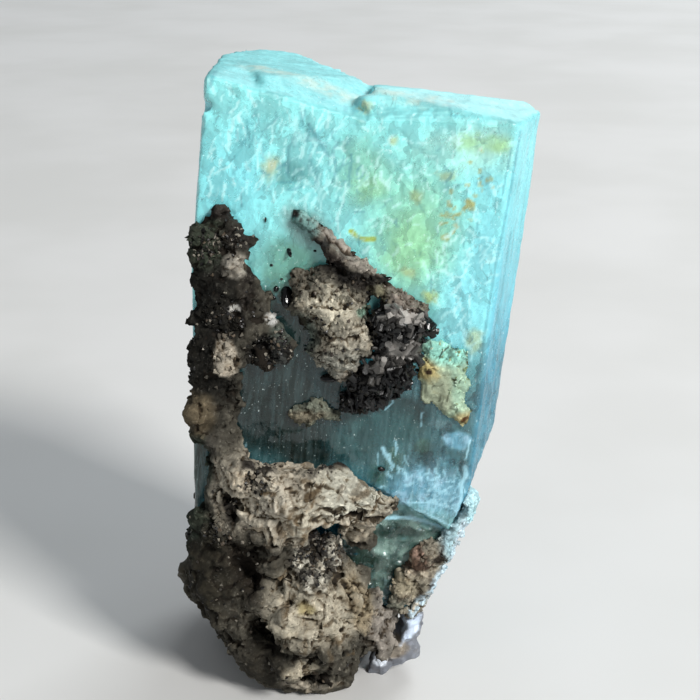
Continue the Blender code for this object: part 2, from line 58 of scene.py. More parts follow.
# Doubled vertices closer than this, in metres, are merged.
MERGED = 0.000001
# A finely weighted vertex group has this many steps.
FINE_STEPS = 160
# Rock that lies further back than this, in crystal millimetres, has coarser faces and fewer grains.
SEEN_DEPTH = 6.0
Triple = tuple[float, float, float]


class Slot(Enum):
    """The record's material slots."""

    AQUAMARINE = "aquamarine"
    FELDSPAR = "feldspar"
    CRUST = "feldspar_crust"
    TOURMALINE = "black_tourmaline"
    STAIN = "stained_feldspar"
    EDGE = "edge_crust"
    PALE = "pale_feldspar"


class Pattern(Enum):
    """The patterns that a relief is carved with, by Blender's names for their noises."""

    SOFT = "SOFT_NOISE"
    HARD = "HARD_NOISE"
    LUMPS = "VORONOI"


def tint(red: float, green: float, blue: float) -> Triple:
    """Returns the linear colour of a screen colour given from 0 to 255."""
    return tuple(
        (c / 255 / 12.92) if c <= 10.3 else ((c / 255 + 0.055) / 1.055) ** 2.4 for c in (red, green, blue)
    )


# ------------------------------------------------------------------ meshes


def pick(*pieces: bpy.types.Object) -> None:
    """Selects these pieces alone and makes the first one active."""
    bpy.ops.object.select_all(action="DESELECT")
    for piece in pieces:
        piece.select_set(True)
    bpy.context.view_layer.objects.active = pieces[0]


def new_object(name: str, data: "bpy.types.ID | None") -> bpy.types.Object:
    """Returns a new object in the scene that holds this data."""
    item = bpy.data.objects.new(name, data)
    bpy.context.scene.collection.objects.link(item)
    return item


def modify(piece: bpy.types.Object, kind: str, **settings: object) -> None:
    """Adds a modifier with these settings to a piece and applies it.

    Args:
        piece: the mesh object.
        kind: Blender's name for the modifier's type.
        **settings: the modifier's properties.
    """
    pick(piece)
    modifier = piece.modifiers.new("shaping", kind)
    for key, value in settings.items():
        setattr(modifier, key, value)
    bpy.ops.object.modifier_apply(modifier=modifier.name)


def choose(piece: bpy.types.Object, kind: str, chosen: np.ndarray) -> None:
    """Opens a piece in edit mode with the chosen parts selected, and nothing else.

    Args:
        piece: the mesh object.
        kind: VERT or FACE.
        chosen: one truth value for each vertex or face.
    """
    pick(piece)
    bpy.ops.object.mode_set(mode="EDIT")
    bpy.ops.mesh.select_mode(type=kind)
    bpy.ops.mesh.select_all(action="DESELECT")
    bpy.ops.object.mode_set(mode="OBJECT")
    parts = piece.data.polygons if kind == "FACE" else piece.data.vertices
    parts.foreach_set("select", chosen)
    bpy.ops.object.mode_set(mode="EDIT")


def copy_of(node: str, name: str) -> bpy.types.Object:
    """Copies a CAD node's mesh into a new closed piece.

    Args:
        node: the CAD node's name.
        name: the new piece's name.

    Returns:
        The new object, with its doubled vertices merged.
    """
    piece = new_object(name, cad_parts[node].data.copy())
    piece.data.materials.clear()
    pick(piece)
    bpy.ops.object.mode_set(mode="EDIT")
    bpy.ops.mesh.select_all(action="SELECT")
    bpy.ops.mesh.remove_doubles(threshold=MERGED)
    bpy.ops.object.mode_set(mode="OBJECT")
    return piece


def join(pieces: list[bpy.types.Object], name: str) -> bpy.types.Object:
    """Joins pieces into the first one and gives it a name.

    Args:
        pieces: the mesh objects.
        name: the joined piece's name.

    Returns:
        The joined piece.
    """
    pick(*pieces)
    if len(pieces) > 1:
        bpy.ops.object.join()
    pieces[0].name = pieces[0].data.name = name
    return pieces[0]


def read(parts: object, key: str, width: int = 3, kind: type = float) -> np.ndarray:
    """Reads a property of all vertices, edges, loops or faces.

    Args:
        parts: the mesh's collection.
        key: the property's name.
        width: how many numbers it has.
        kind: the numbers' type.

    Returns:
        One row for each part, or one number where the width is 1.
    """
    flat = np.empty(len(parts) * width, kind)
    parts.foreach_get(key, flat)
    return flat.reshape(-1, width) if width > 1 else flat


def points_of(piece: bpy.types.Object) -> np.ndarray:
    """Returns the piece's vertices in crystal millimetres."""
    inverse = np.array(CRYSTAL_FRAME.inverted())
    return read(piece.data.vertices, "co") @ inverse[:3, :3].T + inverse[:3, 3]


def normals_of(piece: bpy.types.Object) -> np.ndarray:
    """Returns the piece's vertex normals, turned into the crystal's frame."""
    return read(piece.data.vertex_normals, "vector") @ np.array(CRYSTAL_TURN.to_matrix())


def height_of(piece: bpy.types.Object) -> np.ndarray:
    """Returns how high each vertex lies above the floor, in millimetres."""
    return read(piece.data.vertices, "co")[:, 2] / MM


def ramp(values: np.ndarray, low: float, high: float) -> np.ndarray:
    """Returns a smooth step from 0 at low to 1 at high."""
    part = np.clip((values - low) / (high - low), 0.0, 1.0)
    return part * part * (3.0 - 2.0 * part)


def chance(cells: np.ndarray, seed: int) -> np.ndarray:
    """Returns one steady random value from 0 to 1 for each row of whole numbers."""
    key = cells @ np.array((374761393, 668265263, 1440662683)) + seed * 974634777
    key = ((key ^ (key >> 13)) * 1274126177) & 0xFFFFFFFF
    key ^= key >> 16
    return (key & 0xFFFFFF) / 0xFFFFFF


def haze(points: np.ndarray, size: float, seed: int, octaves: int = 3) -> np.ndarray:
    """Makes smooth random values from 0 to 1 over points.

    Args:
        points: the places, in millimetres.
        size: the coarsest cell, in millimetres.
        seed: which pattern is drawn.
        octaves: how many finer layers are added.

    Returns:
        One value for each point.
    """
    total, share = np.zeros(len(points)), 0.0
    for octave in range(octaves):
        cells = points / size * 2.0**octave + 17.3 * octave
        low = np.floor(cells).astype(np.int64)
        part = cells - low
        part = part * part * (3.0 - 2.0 * part)
        for corner in itertools.product((0, 1), repeat=3):
            weight = np.prod(np.where(corner, part, 1.0 - part), axis=1)
            total += chance(low + corner, seed + octave) * weight / 2.0**octave
        share += 1.0 / 2.0**octave
    return total / share


def facets(places: np.ndarray, seed: int, bend: float, lean: float) -> tuple[np.ndarray, np.ndarray]:
    """Parts space into unit cells, each with a flat face of its own level and lean.

    Args:
        places: the points, in cells.
        seed: which pattern is drawn.
        bend: how far the cells' borders wander, in cells.
        lean: how steeply the faces lean.

    Returns:
        The height of each point, about 0 to 1, and its distance from its cell's border.
    """
    swirl = np.stack([haze(places, 1.1, seed + axis, 2) for axis in range(3)], axis=1) - 0.5
    bent = places + 2.0 * bend * swirl
    low = np.floor(bent).astype(np.int64)
    nearest, second = np.full(len(places), 9.0), np.full(len(places), 9.0)
    height = np.zeros(len(places))
    for corner in itertools.product((-1, 0, 1), repeat=3):
        cell = low + corner
        away = bent - cell - np.stack([chance(cell, seed + 10 + axis) for axis in range(3)], axis=1)
        slope = np.stack([chance(cell, seed + 20 + axis) for axis in range(3)], axis=1) - 0.5
        face = 0.25 + 0.5 * chance(cell, seed + 30) + lean * (away * slope).sum(axis=1)
        far = (away**2).sum(axis=1)
        closer = far < nearest
        second = np.where(closer, nearest, np.minimum(second, far))
        nearest = np.where(closer, far, nearest)
        height = np.where(closer, face, height)
    return np.clip(height, 0.0, 1.0), np.sqrt(second) - np.sqrt(nearest)


def hollows(piece: bpy.types.Object, rounds: int) -> np.ndarray:
    """Measures how far each vertex lies below the smoothed surface.

    Args:
        piece: the mesh object.
        rounds: how many rounds of smoothing, so how wide a hollow counts.

    Returns:
        The depth of each vertex in millimetres, negative on a bump.
    """
    start = points_of(piece)
    count = len(start)
    ends = read(piece.data.edges, "vertices", 2, np.int64)
    first, second = ends.T
    degree = np.maximum(np.bincount(ends.ravel(), minlength=count), 1)
    smooth = start.copy()
    for _ in range(rounds):
        for axis in range(3):
            near = np.bincount(first, smooth[second, axis], count)
            near = near + np.bincount(second, smooth[first, axis], count)
            smooth[:, axis] = 0.5 * smooth[:, axis] + 0.5 * near / degree
    return ((smooth - start) * normals_of(piece)).sum(axis=1)


def weigh(piece: bpy.types.Object, name: str, weights: np.ndarray, steps: int = 24) -> None:
    """Stores weights from 0 to 1 as a vertex group, in steps.

    Args:
        piece: the mesh object.
        name: the group's name.
        weights: one weight for each vertex.
        steps: how many levels of weight there are.
    """
    group = piece.vertex_groups.new(name=name)
    level = np.round(np.clip(weights, 0.0, 1.0) * steps).astype(int)
    for step in range(1, steps + 1):
        members = np.nonzero(level == step)[0]
        if len(members):
            group.add(members.tolist(), step / steps, "REPLACE")


def shove(piece: bpy.types.Object, weights: np.ndarray, distance: float, way: str = "NORMAL") -> None:
    """Moves vertices along their normals or an axis.

    Args:
        piece: the mesh object.
        weights: each vertex's share of the distance, from 0 to 1.
        distance: how far a whole share goes, in millimetres.
        way: NORMAL, X or Z.
    """
    weigh(piece, "shoved", weights, FINE_STEPS)
    modify(piece, "DISPLACE", direction=way, strength=distance * MM, mid_level=0.0, vertex_group="shoved")
    piece.vertex_groups.remove(piece.vertex_groups["shoved"])


def lift(piece: bpy.types.Object, heights: np.ndarray) -> None:
    """Moves each vertex along its normal by its own height in millimetres.

    Args:
        piece: the mesh object.
        heights: one height for each vertex, negative for a hollow.
    """
    for sign in (1.0, -1.0):
        part = np.clip(sign * heights, 0.0, None)
        top = float(part.max())
        if top > 0.0:
            shove(piece, part / top, sign * top)


def store(piece: bpy.types.Object, name: str, values: np.ndarray) -> None:
    """Stores one number or one colour for each vertex as an attribute.

    Args:
        piece: the mesh object.
        name: the attribute's name.
        values: one number or three for each vertex.
    """
    if values.ndim == 1:
        layer = piece.data.attributes.new(name, "FLOAT", "POINT")
        layer.data.foreach_set("value", values.astype(np.float32))
        return
    layer = piece.data.attributes.new(name, "FLOAT_COLOR", "POINT")
    full = np.ones((len(values), 4), np.float32)
    full[:, :3] = values
    layer.data.foreach_set("color", full.ravel())


def even_out(piece: bpy.types.Object, voxel: float) -> None:
    """Rebuilds a piece's surface with even faces of this size in millimetres."""
    modify(piece, "REMESH", mode="VOXEL", voxel_size=voxel * MM, adaptivity=0.0, use_smooth_shade=True)


def refine(piece: bpy.types.Object, chosen: np.ndarray) -> None:
    """Cuts the faces whose vertices are all chosen into four.

    Args:
        piece: the mesh object, of even quads.
        chosen: one truth value for each vertex.
    """
    corners = read(piece.data.loops, "vertex_index", 1, np.int64)
    starts = read(piece.data.polygons, "loop_start", 1, np.int64)
    choose(piece, "FACE", np.logical_and.reduceat(chosen[corners], starts))
    bpy.ops.mesh.subdivide(number_cuts=1, smoothness=0.0, quadcorner="INNERVERT")
    bpy.ops.object.mode_set(mode="OBJECT")


# ------------------------------------------------------------------ patches of colour and relief


@dataclass(frozen=True)
class Blot:
    """A soft-edged patch in crystal millimetres: centre, half sizes and turn about y in degrees."""

    centre: Triple
    half: Triple
    turn: float = 0.0
    edge: float = 0.8
    wander: float = 0.5

    def cover(self, points: np.ndarray) -> np.ndarray:
        """Returns how much the patch covers each point, from 0 to 1.

        Args:
            points: the places.

        Returns:
            Each point's share.
        """
        angle = math.radians(self.turn)
        away = points - np.array(self.centre)
        x = away[:, 0] * math.cos(angle) + away[:, 2] * math.sin(angle)
        z = -away[:, 0] * math.sin(angle) + away[:, 2] * math.cos(angle)
        reach = np.sqrt((x / self.half[0]) ** 2 + (away[:, 1] / self.half[1]) ** 2 + (z / self.half[2]) ** 2)
        size = max(0.5, min(self.half) * 0.7)
        reach += self.wander * (haze(points, size, int(sum(self.centre) * 7) + 91) - 0.5)
        return 1.0 - ramp(reach, 1.0 - self.edge * 0.5, 1.0 + self.edge * 0.5)


@dataclass(frozen=True)
class Stroke:
    """A thin line through points of x and z in crystal millimetres, down to a depth, with its half width."""

    route: tuple[tuple[float, float], ...]
    width: float
    depth: float = 3.0

    def cover(self, points: np.ndarray) -> np.ndarray:
        """Returns how much the line covers each point, from 0 to 1.

        Args:
            points: the places.

        Returns:
            Each point's share.
        """
        nearest = np.full(len(points), 99.0)
        for start, end in zip(self.route, self.route[1:]):
            along = np.subtract(end, start)
            away = points[:, (0, 2)] - start
            part = np.clip(away @ along / (along @ along), 0.0, 1.0)
            nearest = np.minimum(nearest, np.hypot(*(away - part[:, None] * along).T))
        nearest += self.width * (haze(points, 0.9, 71, 2) - 0.5)
        return (1.0 - ramp(nearest, self.width * 0.5, self.width * 1.3)) * (points[:, 1] < self.depth)


@dataclass(frozen=True)
class Scratches:
    """Many short strokes in an area of x and z, with their count, lengths, lean and spread in degrees."""

    centre: tuple[float, float]
    half: tuple[float, float]
    count: int
    length: tuple[float, float]
    lean: float
    spread: float
    width: float
    seed: int

    def cover(self, points: np.ndarray) -> np.ndarray:
        """Returns how much the strokes cover each point, from 0 to 1.

        Args:
            points: the places.

        Returns:
            Each point's share.
        """
        dice = np.random.default_rng(self.seed)
        total = np.zeros(len(points))
        for _ in range(self.count):
            start = np.array(self.centre) + dice.uniform(-1.0, 1.0, 2) * self.half
            angle = math.radians(self.lean + self.spread * dice.normal())
            reach = dice.uniform(*self.length)
            bend = reach * dice.uniform(-0.2, 0.2)
            way = np.array((math.sin(angle), math.cos(angle)))
            middle = start + 0.5 * reach * way + bend * np.array((way[1], -way[0]))
            near = (np.abs(points[:, [0, 2]] - start) < reach + 1.0).all(axis=1)
            bends = (tuple(start), tuple(middle), tuple(start + reach * way))
            stroke = Stroke(bends, self.width * dice.uniform(0.6, 1.3))
            total[near] = np.maximum(total[near], dice.uniform(0.4, 1.0) * stroke.cover(points[near]))
        return total


Patch = Blot | Stroke | Scratches
Coat = tuple[Patch, Triple]


def covered(points: np.ndarray, blots: tuple[Patch, ...]) -> np.ndarray:
    """Returns how much any of the patches covers each point."""
    total = np.zeros(len(points))
    for blot in blots:
        total = np.maximum(total, blot.cover(points))
    return total


def wash(colour: np.ndarray, share: np.ndarray, shade: Triple) -> None:
    """Lays a screen colour over the colours, as far as each point's share says."""
    colour += (np.array(tint(*shade)) - colour) * share[:, None]


def painted(points: np.ndarray, base: np.ndarray, coats: tuple[Coat, ...]) -> np.ndarray:
    """Lays coats of colour over a base, in order.

    Args:
        points: the places, in millimetres.
        base: one colour for each point, or one colour for all.
        coats: each patch with its screen colour.

    Returns:
        One linear colour for each point.
    """
    colour = np.broadcast_to(np.asarray(base, float), (len(points), 3)).copy()
    for blot, shade in coats:
        share = blot.cover(points)[:, None]
        colour = colour * (1.0 - share) + np.array(tint(*shade)) * share
    return colour


@dataclass(frozen=True)
class Relief:
    """A pattern carved along the normals: its cell sizes and its height in millimetres."""

    pattern: Pattern
    size: Triple
    height: float
    where: str = ""
    depth: int = 2
    level: float = 0.5
    turn: float = 0.0

    def texture(self) -> bpy.types.Texture:
        """Returns the pattern as a texture that repeats about once a unit."""
        lumpy = self.pattern is Pattern.LUMPS
        texture = bpy.data.textures.new("relief", "VORONOI" if lumpy else "CLOUDS")
        texture.noise_scale = 1.0
        if not lumpy:
            texture.noise_depth, texture.noise_type = self.depth, self.pattern.value
        return texture

    def carve(self, piece: bpy.types.Object) -> None:
        """Displaces the piece by the pattern, laid out in the crystal's frame.

        Args:
            piece: the mesh object.
        """
        texture = self.texture()
        handle = new_object("relief_handle", None)
        turned = Matrix.Rotation(math.radians(self.turn), 4, "Y")
        handle.matrix_world = CRYSTAL_FRAME @ turned @ Matrix.Diagonal((*self.size, 1.0))
        bpy.context.view_layer.update()
        modify(
            piece,
            "DISPLACE",
            texture=texture,
            texture_coords="OBJECT",
            texture_coords_object=handle,
            strength=self.height * MM,
            mid_level=self.level,
            vertex_group=self.where,
        )
        bpy.data.objects.remove(handle)
        bpy.data.textures.remove(texture)


@dataclass(frozen=True)
class Fracture:
    """Broken rock: flat leaning faces of this cell size and height in millimetres, in these places."""

    size: Triple
    height: float
    seed: int
    where: tuple[Blot, ...] = ()
    turn: float = 0.0
    lean: float = 1.5
    bend: float = 0.3
    groove: float = 0.0

    def carve(self, piece: bpy.types.Object, free: np.ndarray) -> None:
        """Breaks the piece's surface up, as far as it is free to move.

        Args:
            piece: the mesh object.
            free: how far each vertex may move, from 0 to 1.
        """
        points = points_of(piece)
        share = free * covered(points, self.where) if self.where else free
        turned = np.array(Matrix.Rotation(math.radians(self.turn), 3, "Y"))
        heights, border = facets(points @ turned / np.array(self.size), self.seed, self.bend, self.lean)
        heights = self.height * (heights - 0.5) - self.groove * (1.0 - ramp(border, 0.0, 0.16))
        lift(piece, share * heights)


@dataclass(frozen=True)
class Lump:
    """A rounded boulder of rock in crystal millimetres: centre, half sizes and turn about y in degrees."""

    centre: Triple
    half: Triple
    turn: float = 0.0

    def build(self, subdivisions: int = 2) -> bpy.types.Object:
        """Returns the lump as a faceted ball, settled in place.

        Args:
            subdivisions: how finely the ball is cut.

        Returns:
            The new mesh object.
        """
        bpy.ops.object.select_all(action="DESELECT")
        bpy.ops.mesh.primitive_ico_sphere_add(subdivisions=subdivisions, radius=1.0)
        lump = bpy.context.active_object
        turned = Euler((0.3 * self.turn, math.radians(self.turn), 0.2))
        place = Matrix.LocRotScale(Vector(self.centre), turned, Vector(self.half))
        lump.data.transform(CRYSTAL_FRAME @ place)
        return lump


# ------------------------------------------------------------------ grains


class Grain(Enum):
    """The small shapes that are strewn over a surface."""

    CHIP = "chip"
    PLATE = "plate"
    NEEDLE = "needle"
    CRUMB = "crumb"


# How each grain is squeezed, and the planes that break it: a place in millimetres and a direction.
GRAIN_BREAKS = {
    Grain.NEEDLE: ((1, 0.8, 1), (((0, 0, 0.36), (0.5, 0.2, 1)), ((0, 0, 0.38), (-0.5, 0.3, 1)))),
    Grain.PLATE: ((1, 0.75, 1), (((0.3, 0, 0), (1, 0.4, 0.1)),)),
    Grain.CRUMB: ((1, 0.8, 0.75), (((0.25, 0.1, 0), (1, 0.3, 0.2)), ((-0.2, -0.2, 0.1), (-0.4, -1, 0.5)))),
    Grain.CHIP: (
        (1, 1, 1),
        (
            ((0.25, 0.2, 0.2), (1, 0.7, 0.5)),
            ((-0.25, 0.2, -0.2), (-0.8, 0.5, -0.6)),
            ((-0.1, -0.3, 0.2), (-0.3, -1, 0.8)),
            ((0.2, -0.25, -0.25), (0.4, -0.7, -1)),
        ),
    ),
}


def grain_model(kind: Grain) -> bpy.types.Object:
    """Models one grain about a millimetre across, at the origin.

    Args:
        kind: which grain.

    Returns:
        The grain, of a few dozen faces at most.
    """
    bpy.ops.object.select_all(action="DESELECT")
    if kind is Grain.NEEDLE:
        bpy.ops.mesh.primitive_cylinder_add(vertices=9, radius=0.16 * MM, depth=MM)
    elif kind is Grain.PLATE:
        bpy.ops.mesh.primitive_cylinder_add(vertices=6, radius=0.5 * MM, depth=0.09 * MM)
    elif kind is Grain.CRUMB:
        bpy.ops.mesh.primitive_ico_sphere_add(subdivisions=1, radius=0.5 * MM)
    else:
        bpy.ops.mesh.primitive_cube_add(size=0.9 * MM)
    grain = bpy.context.active_object
    grain.name = f"{kind.value}_model"
    squeeze, breaks = GRAIN_BREAKS[kind]
    bpy.ops.object.mode_set(mode="EDIT")
    bpy.ops.mesh.select_all(action="SELECT")
    bpy.ops.transform.resize(value=squeeze)
    for place, way in breaks:
        bpy.ops.mesh.select_all(action="SELECT")
        bpy.ops.mesh.bisect(
            plane_co=Vector(place) * MM, plane_no=Vector(way).normalized(), use_fill=True, clear_outer=True
        )
    bpy.ops.object.mode_set(mode="OBJECT")
    return grain


class Nodes:
    """Adds and links the nodes of one tree."""

    def __init__(self, tree: bpy.types.NodeTree) -> None:
        """Takes the tree that is laid out."""
        self.tree = tree

    def put(self, socket: bpy.types.NodeSocket, value: object) -> None:
        """Links a socket, or sets it to a constant.

        Args:
            socket: the input.
            value: a socket to link, or a constant.
        """
        if isinstance(value, bpy.types.NodeSocket):
            self.tree.links.new(value, socket)
        elif isinstance(value, tuple) and len(value) == 3 and len(socket.default_value) == 4:
            socket.default_value = (*value, 1.0)
        else:
            socket.default_value = value

    def make(
        self, kind: str, settings: dict[str, object] | None = None, **sockets: object
    ) -> bpy.types.Node:
        """Adds a node.

        Args:
            kind: Blender's name for the node's type.
            settings: the node's own properties.
            **sockets: its inputs, each with a constant or a socket to link, and _ for a space in the name.

        Returns:
            The node.
        """
        node = self.tree.nodes.new(kind)
        for key, value in (settings or {}).items():
            setattr(node, key, value)
        for key, value in sockets.items():
            self.put(node.inputs[key.replace("_", " ")], value)
        return node

    def calc(self, operation: str, first: object, second: object) -> bpy.types.NodeSocket:
        """Works out one sum of two values."""
        node = self.make("ShaderNodeMath", {"operation": operation})
        self.put(node.inputs[0], first)
        self.put(node.inputs[1], second)
        return node.outputs[0]


@dataclass(frozen=True)
class Scatter:
    """Grains strewn over a host's surface: how many a square millimetre, their sizes and how they lie."""

    name: str
    grain: Grain
    density: float
    smallest: float
    largest: float
    seed: int
    tilt: float = 3.2
    sink: float = 0.0
    stretch: Triple = (1.0, 1.0, 1.0)

    def recipe(self, tree: bpy.types.NodeTree, model: bpy.types.Object) -> None:
        """Lays out the nodes that strew the model where the host's "strewn" attribute allows.

        Args:
            tree: the empty node tree.
            model: the one grain that is copied.
        """
        nodes = Nodes(tree)
        vectors = {"data_type": "FLOAT_VECTOR"}
        host = nodes.make("NodeGroupInput").outputs[0]
        share = nodes.make("GeometryNodeInputNamedAttribute", {"data_type": "FLOAT"}, Name="strewn")
        amount = nodes.calc("MULTIPLY", share.outputs["Attribute"], self.density / MM**2)
        spread = nodes.make("GeometryNodeDistributePointsOnFaces", Mesh=host, Density=amount, Seed=self.seed)
        least, most = (-self.tilt, -self.tilt, -3.2), (self.tilt, self.tilt, 3.2)
        lean = nodes.make("FunctionNodeRandomValue", vectors, Min=least, Max=most, Seed=self.seed + 1)
        lean = nodes.make("FunctionNodeEulerToRotation", Euler=lean.outputs["Value"])
        turned = nodes.make(
            "FunctionNodeRotateRotation",
            {"rotation_space": "LOCAL"},
            Rotation=spread.outputs["Rotation"],
            Rotate_By=lean.outputs[0],
        )
        least, most = (tuple(size * s for s in self.stretch) for size in (self.smallest, self.largest))
        scale = nodes.make("FunctionNodeRandomValue", vectors, Min=least, Max=most, Seed=self.seed + 2)
        grains = nodes.make(
            "GeometryNodeInstanceOnPoints",
            Points=spread.outputs["Points"],
            Instance=nodes.make("GeometryNodeObjectInfo", Object=model).outputs["Geometry"],
            Rotation=turned.outputs[0],
            Scale=scale.outputs["Value"],
        )
        down = (0.0, 0.0, -self.sink * MM)
        sunk = nodes.make("GeometryNodeTranslateInstances", Instances=grains.outputs[0], Translation=down)
        tone = nodes.make("FunctionNodeRandomValue", {"data_type": "FLOAT"}, Seed=self.seed + 3)
        kept = nodes.make(
            "GeometryNodeStoreNamedAttribute",
            {"data_type": "FLOAT", "domain": "INSTANCE"},
            Geometry=sunk.outputs[0],
            Name="tone",
            Value=next(output for output in tone.outputs if output.enabled),
        )
        real = nodes.make("GeometryNodeRealizeInstances", Geometry=kept.outputs[0])
        nodes.put(nodes.make("NodeGroupOutput").inputs[0], real.outputs[0])

    def strew(self, host: bpy.types.Object, weights: np.ndarray) -> bpy.types.Object:
        """Strews the grains where the weights allow and joins them into one mesh.

        Args:
            host: the piece that carries the grains.
            weights: the share of the full density at each of the host's vertices.

        Returns:
            A new mesh object of all the grains, each with its own random tone.
        """
        piece = new_object(self.name, host.data.copy())
        piece.data.materials.clear()
        store(piece, "strewn", np.clip(weights, 0.0, 1.0))
        model = grain_model(self.grain)
        tree = bpy.data.node_groups.new(self.name, "GeometryNodeTree")
        for side in ("INPUT", "OUTPUT"):
            tree.interface.new_socket("Geometry", in_out=side, socket_type="NodeSocketGeometry")
        self.recipe(tree, model)
        modify(piece, "NODES", node_group=tree)
        bpy.data.node_groups.remove(tree)
        bpy.data.objects.remove(model)
        LOG.info("%s: %d grain faces", self.name, len(piece.data.polygons))
        return piece


# ------------------------------------------------------------------ finishes


class Recipe(Nodes):
    """Lays out the nodes of one material. Patterns are sized in millimetres in the crystal's frame."""

    def __init__(self, name: str) -> None:
        """Starts a material with an empty node tree and the crystal's coordinates."""
        self.material = bpy.data.materials.new(name)
        self.material.use_nodes = True
        super().__init__(self.material.node_tree)
        self.tree.nodes.clear()
        own = self.make("ShaderNodeTexCoord").outputs["Object"]
        self.place = self.framed(own, CRYSTAL_PLACE, CRYSTAL_TURN, (MM, MM, MM))

    def framed(self, place: object, shift: object, turn: object, scale: Triple) -> bpy.types.NodeSocket:
        """Returns coordinates in a frame that is moved, turned and scaled like this."""
        moves = {"Vector": place, "Location": shift, "Rotation": turn, "Scale": scale}
        return self.make("ShaderNodeMapping", {"vector_type": "TEXTURE"}, **moves).outputs["Vector"]

    def stretched(
        self, stretch: Triple, shift: Triple = (0.0, 0.0, 0.0), turn: float = 0.0
    ) -> bpy.types.NodeSocket:
        """Returns the crystal's coordinates, turned about y, with cells longer by these factors."""
        return self.framed(self.place, shift, (0.0, math.radians(turn), 0.0), stretch)

    def noise(
        self,
        size: float,
        detail: float = 3.0,
        rough: float = 0.55,
        stretch: Triple = (1.0, 1.0, 1.0),
        warp: float = 0.0,
        ridged: bool = False,
        turn: float = 0.0,
    ) -> bpy.types.NodeSocket:
        """Returns a noise of this cell size in millimetres.

        Args:
            size: the coarsest cell.
            detail: how many finer layers there are.
            rough: how strong the finer layers are.
            stretch: how many times longer the cells are along x, y and z.
            warp: how far the pattern is distorted.
            ridged: whether the noise has sharp ridges.
            turn: the pattern's turn about y, in degrees.

        Returns:
            A value from about 0 to 1.
        """
        node = self.make(
            "ShaderNodeTexNoise",
            {"noise_type": "RIDGED_MULTIFRACTAL" if ridged else "FBM"},
            Vector=self.stretched(stretch, (size, 2.0 * size, 3.0 * size), turn),
            Scale=1.0 / size,
            Detail=detail,
            Roughness=rough,
            Distortion=warp,
        )
        return node.outputs[0]

    def cells(
        self, size: float, stretch: Triple = (1.0, 1.0, 1.0), warp: float = 0.3, feature: str = "F1"
    ) -> bpy.types.Node:
        """Returns a Voronoi node of this cell size, with its cells bent by noise."""
        swirl = self.make("ShaderNodeTexNoise", Vector=self.place, Scale=0.9 / size)
        bent = self.blend(warp * size, self.stretched(stretch), swirl.outputs["Color"], "LINEAR_LIGHT")
        return self.make("ShaderNodeTexVoronoi", {"feature": feature}, Vector=bent, Scale=1.0 / size)

    def span(
        self, value: object, low: float, high: float, to_low: float = 0.0, to_high: float = 1.0
    ) -> bpy.types.NodeSocket:
        """Maps a value's range smoothly to another, clamped."""
        limits = {"From_Min": low, "From_Max": high, "To_Min": to_low, "To_Max": to_high}
        node = self.make("ShaderNodeMapRange", {"interpolation_type": "SMOOTHSTEP"}, Value=value, **limits)
        return node.outputs["Result"]

    def times(self, first: object, second: object) -> bpy.types.NodeSocket:
        """Multiplies two values."""
        return self.calc("MULTIPLY", first, second)

    def plus(self, first: object, second: object) -> bpy.types.NodeSocket:
        """Adds two values."""
        return self.calc("ADD", first, second)

    def most(self, first: object, second: object) -> bpy.types.NodeSocket:
        """Takes the larger of two values."""
        return self.calc("MAXIMUM", first, second)

    def blend(self, share: object, first: object, second: object, way: str = "MIX") -> bpy.types.NodeSocket:
        """Mixes two colours."""
        node = self.make("ShaderNodeMixRGB", {"blend_type": way}, Fac=share, Color1=first, Color2=second)
        return node.outputs["Color"]

    def glaze(self, colour: object, shade: Triple) -> bpy.types.NodeSocket:
        """Multiplies a colour by a screen colour."""
        return self.blend(1.0, colour, tint(*shade), "MULTIPLY")

    def vein(self, size: float, stretch: Triple, width: float) -> bpy.types.NodeSocket:
        """Returns thin winding lines, where a noise of this cell size crosses its middle value."""
        height = self.noise(size, 3.0, 0.55, stretch, 0.9)
        return self.span(self.calc("ABSOLUTE", self.calc("SUBTRACT", height, 0.5), 0.0), 0.0, width, 1.0, 0.0)

    def tone_of(self, cells: bpy.types.Node) -> bpy.types.NodeSocket:
        """Returns one channel of the cells' random colour as their tone."""
        return self.make("ShaderNodeSeparateColor", Color=cells.outputs["Color"]).outputs[0]

    def shade(self, colour: object, value: object) -> bpy.types.NodeSocket:
        """Multiplies a colour by a value."""
        node = self.make("ShaderNodeVectorMath", {"operation": "SCALE"}, Vector=colour, Scale=value)
        return node.outputs[0]

    def layer(self, name: str, output: str = "Fac") -> bpy.types.NodeSocket:
        """Returns an attribute that is painted on the mesh."""
        return self.make("ShaderNodeAttribute", {"attribute_name": name}).outputs[output]

    def bump(self, height: object, distance: float, under: object = None, strength: float = 1.0) -> object:
        """Returns a normal bumped by a height, over distance millimetres.

        Args:
            height: the height, from 0 to 1.
            distance: how far a height of 1 stands out.
            under: a normal that is already bumped.
            strength: how strongly the bump shows.

        Returns:
            The new normal.
        """
        node = self.make("ShaderNodeBump", Strength=strength, Distance=distance * MM, Height=height)
        if under is not None:
            self.put(node.inputs["Normal"], under)
        return node.outputs["Normal"]

    def finish(self, volume: tuple[Triple, float] | None = None, **sockets: object) -> bpy.types.Material:
        """Ends the material with its surface shader.

        Args:
            volume: the absorption's colour and density a metre, for a clear body.
            **sockets: the shader's inputs, with _ for a space.

        Returns:
            The material.
        """
        shader = self.make("ShaderNodeBsdfPrincipled", **sockets)
        output = self.make("ShaderNodeOutputMaterial", Surface=shader.outputs[0])
        if volume:
            soak = self.make("ShaderNodeVolumeAbsorption", Color=volume[0], Density=volume[1])
            self.put(output.inputs["Volume"], soak.outputs[0])
        return self.material


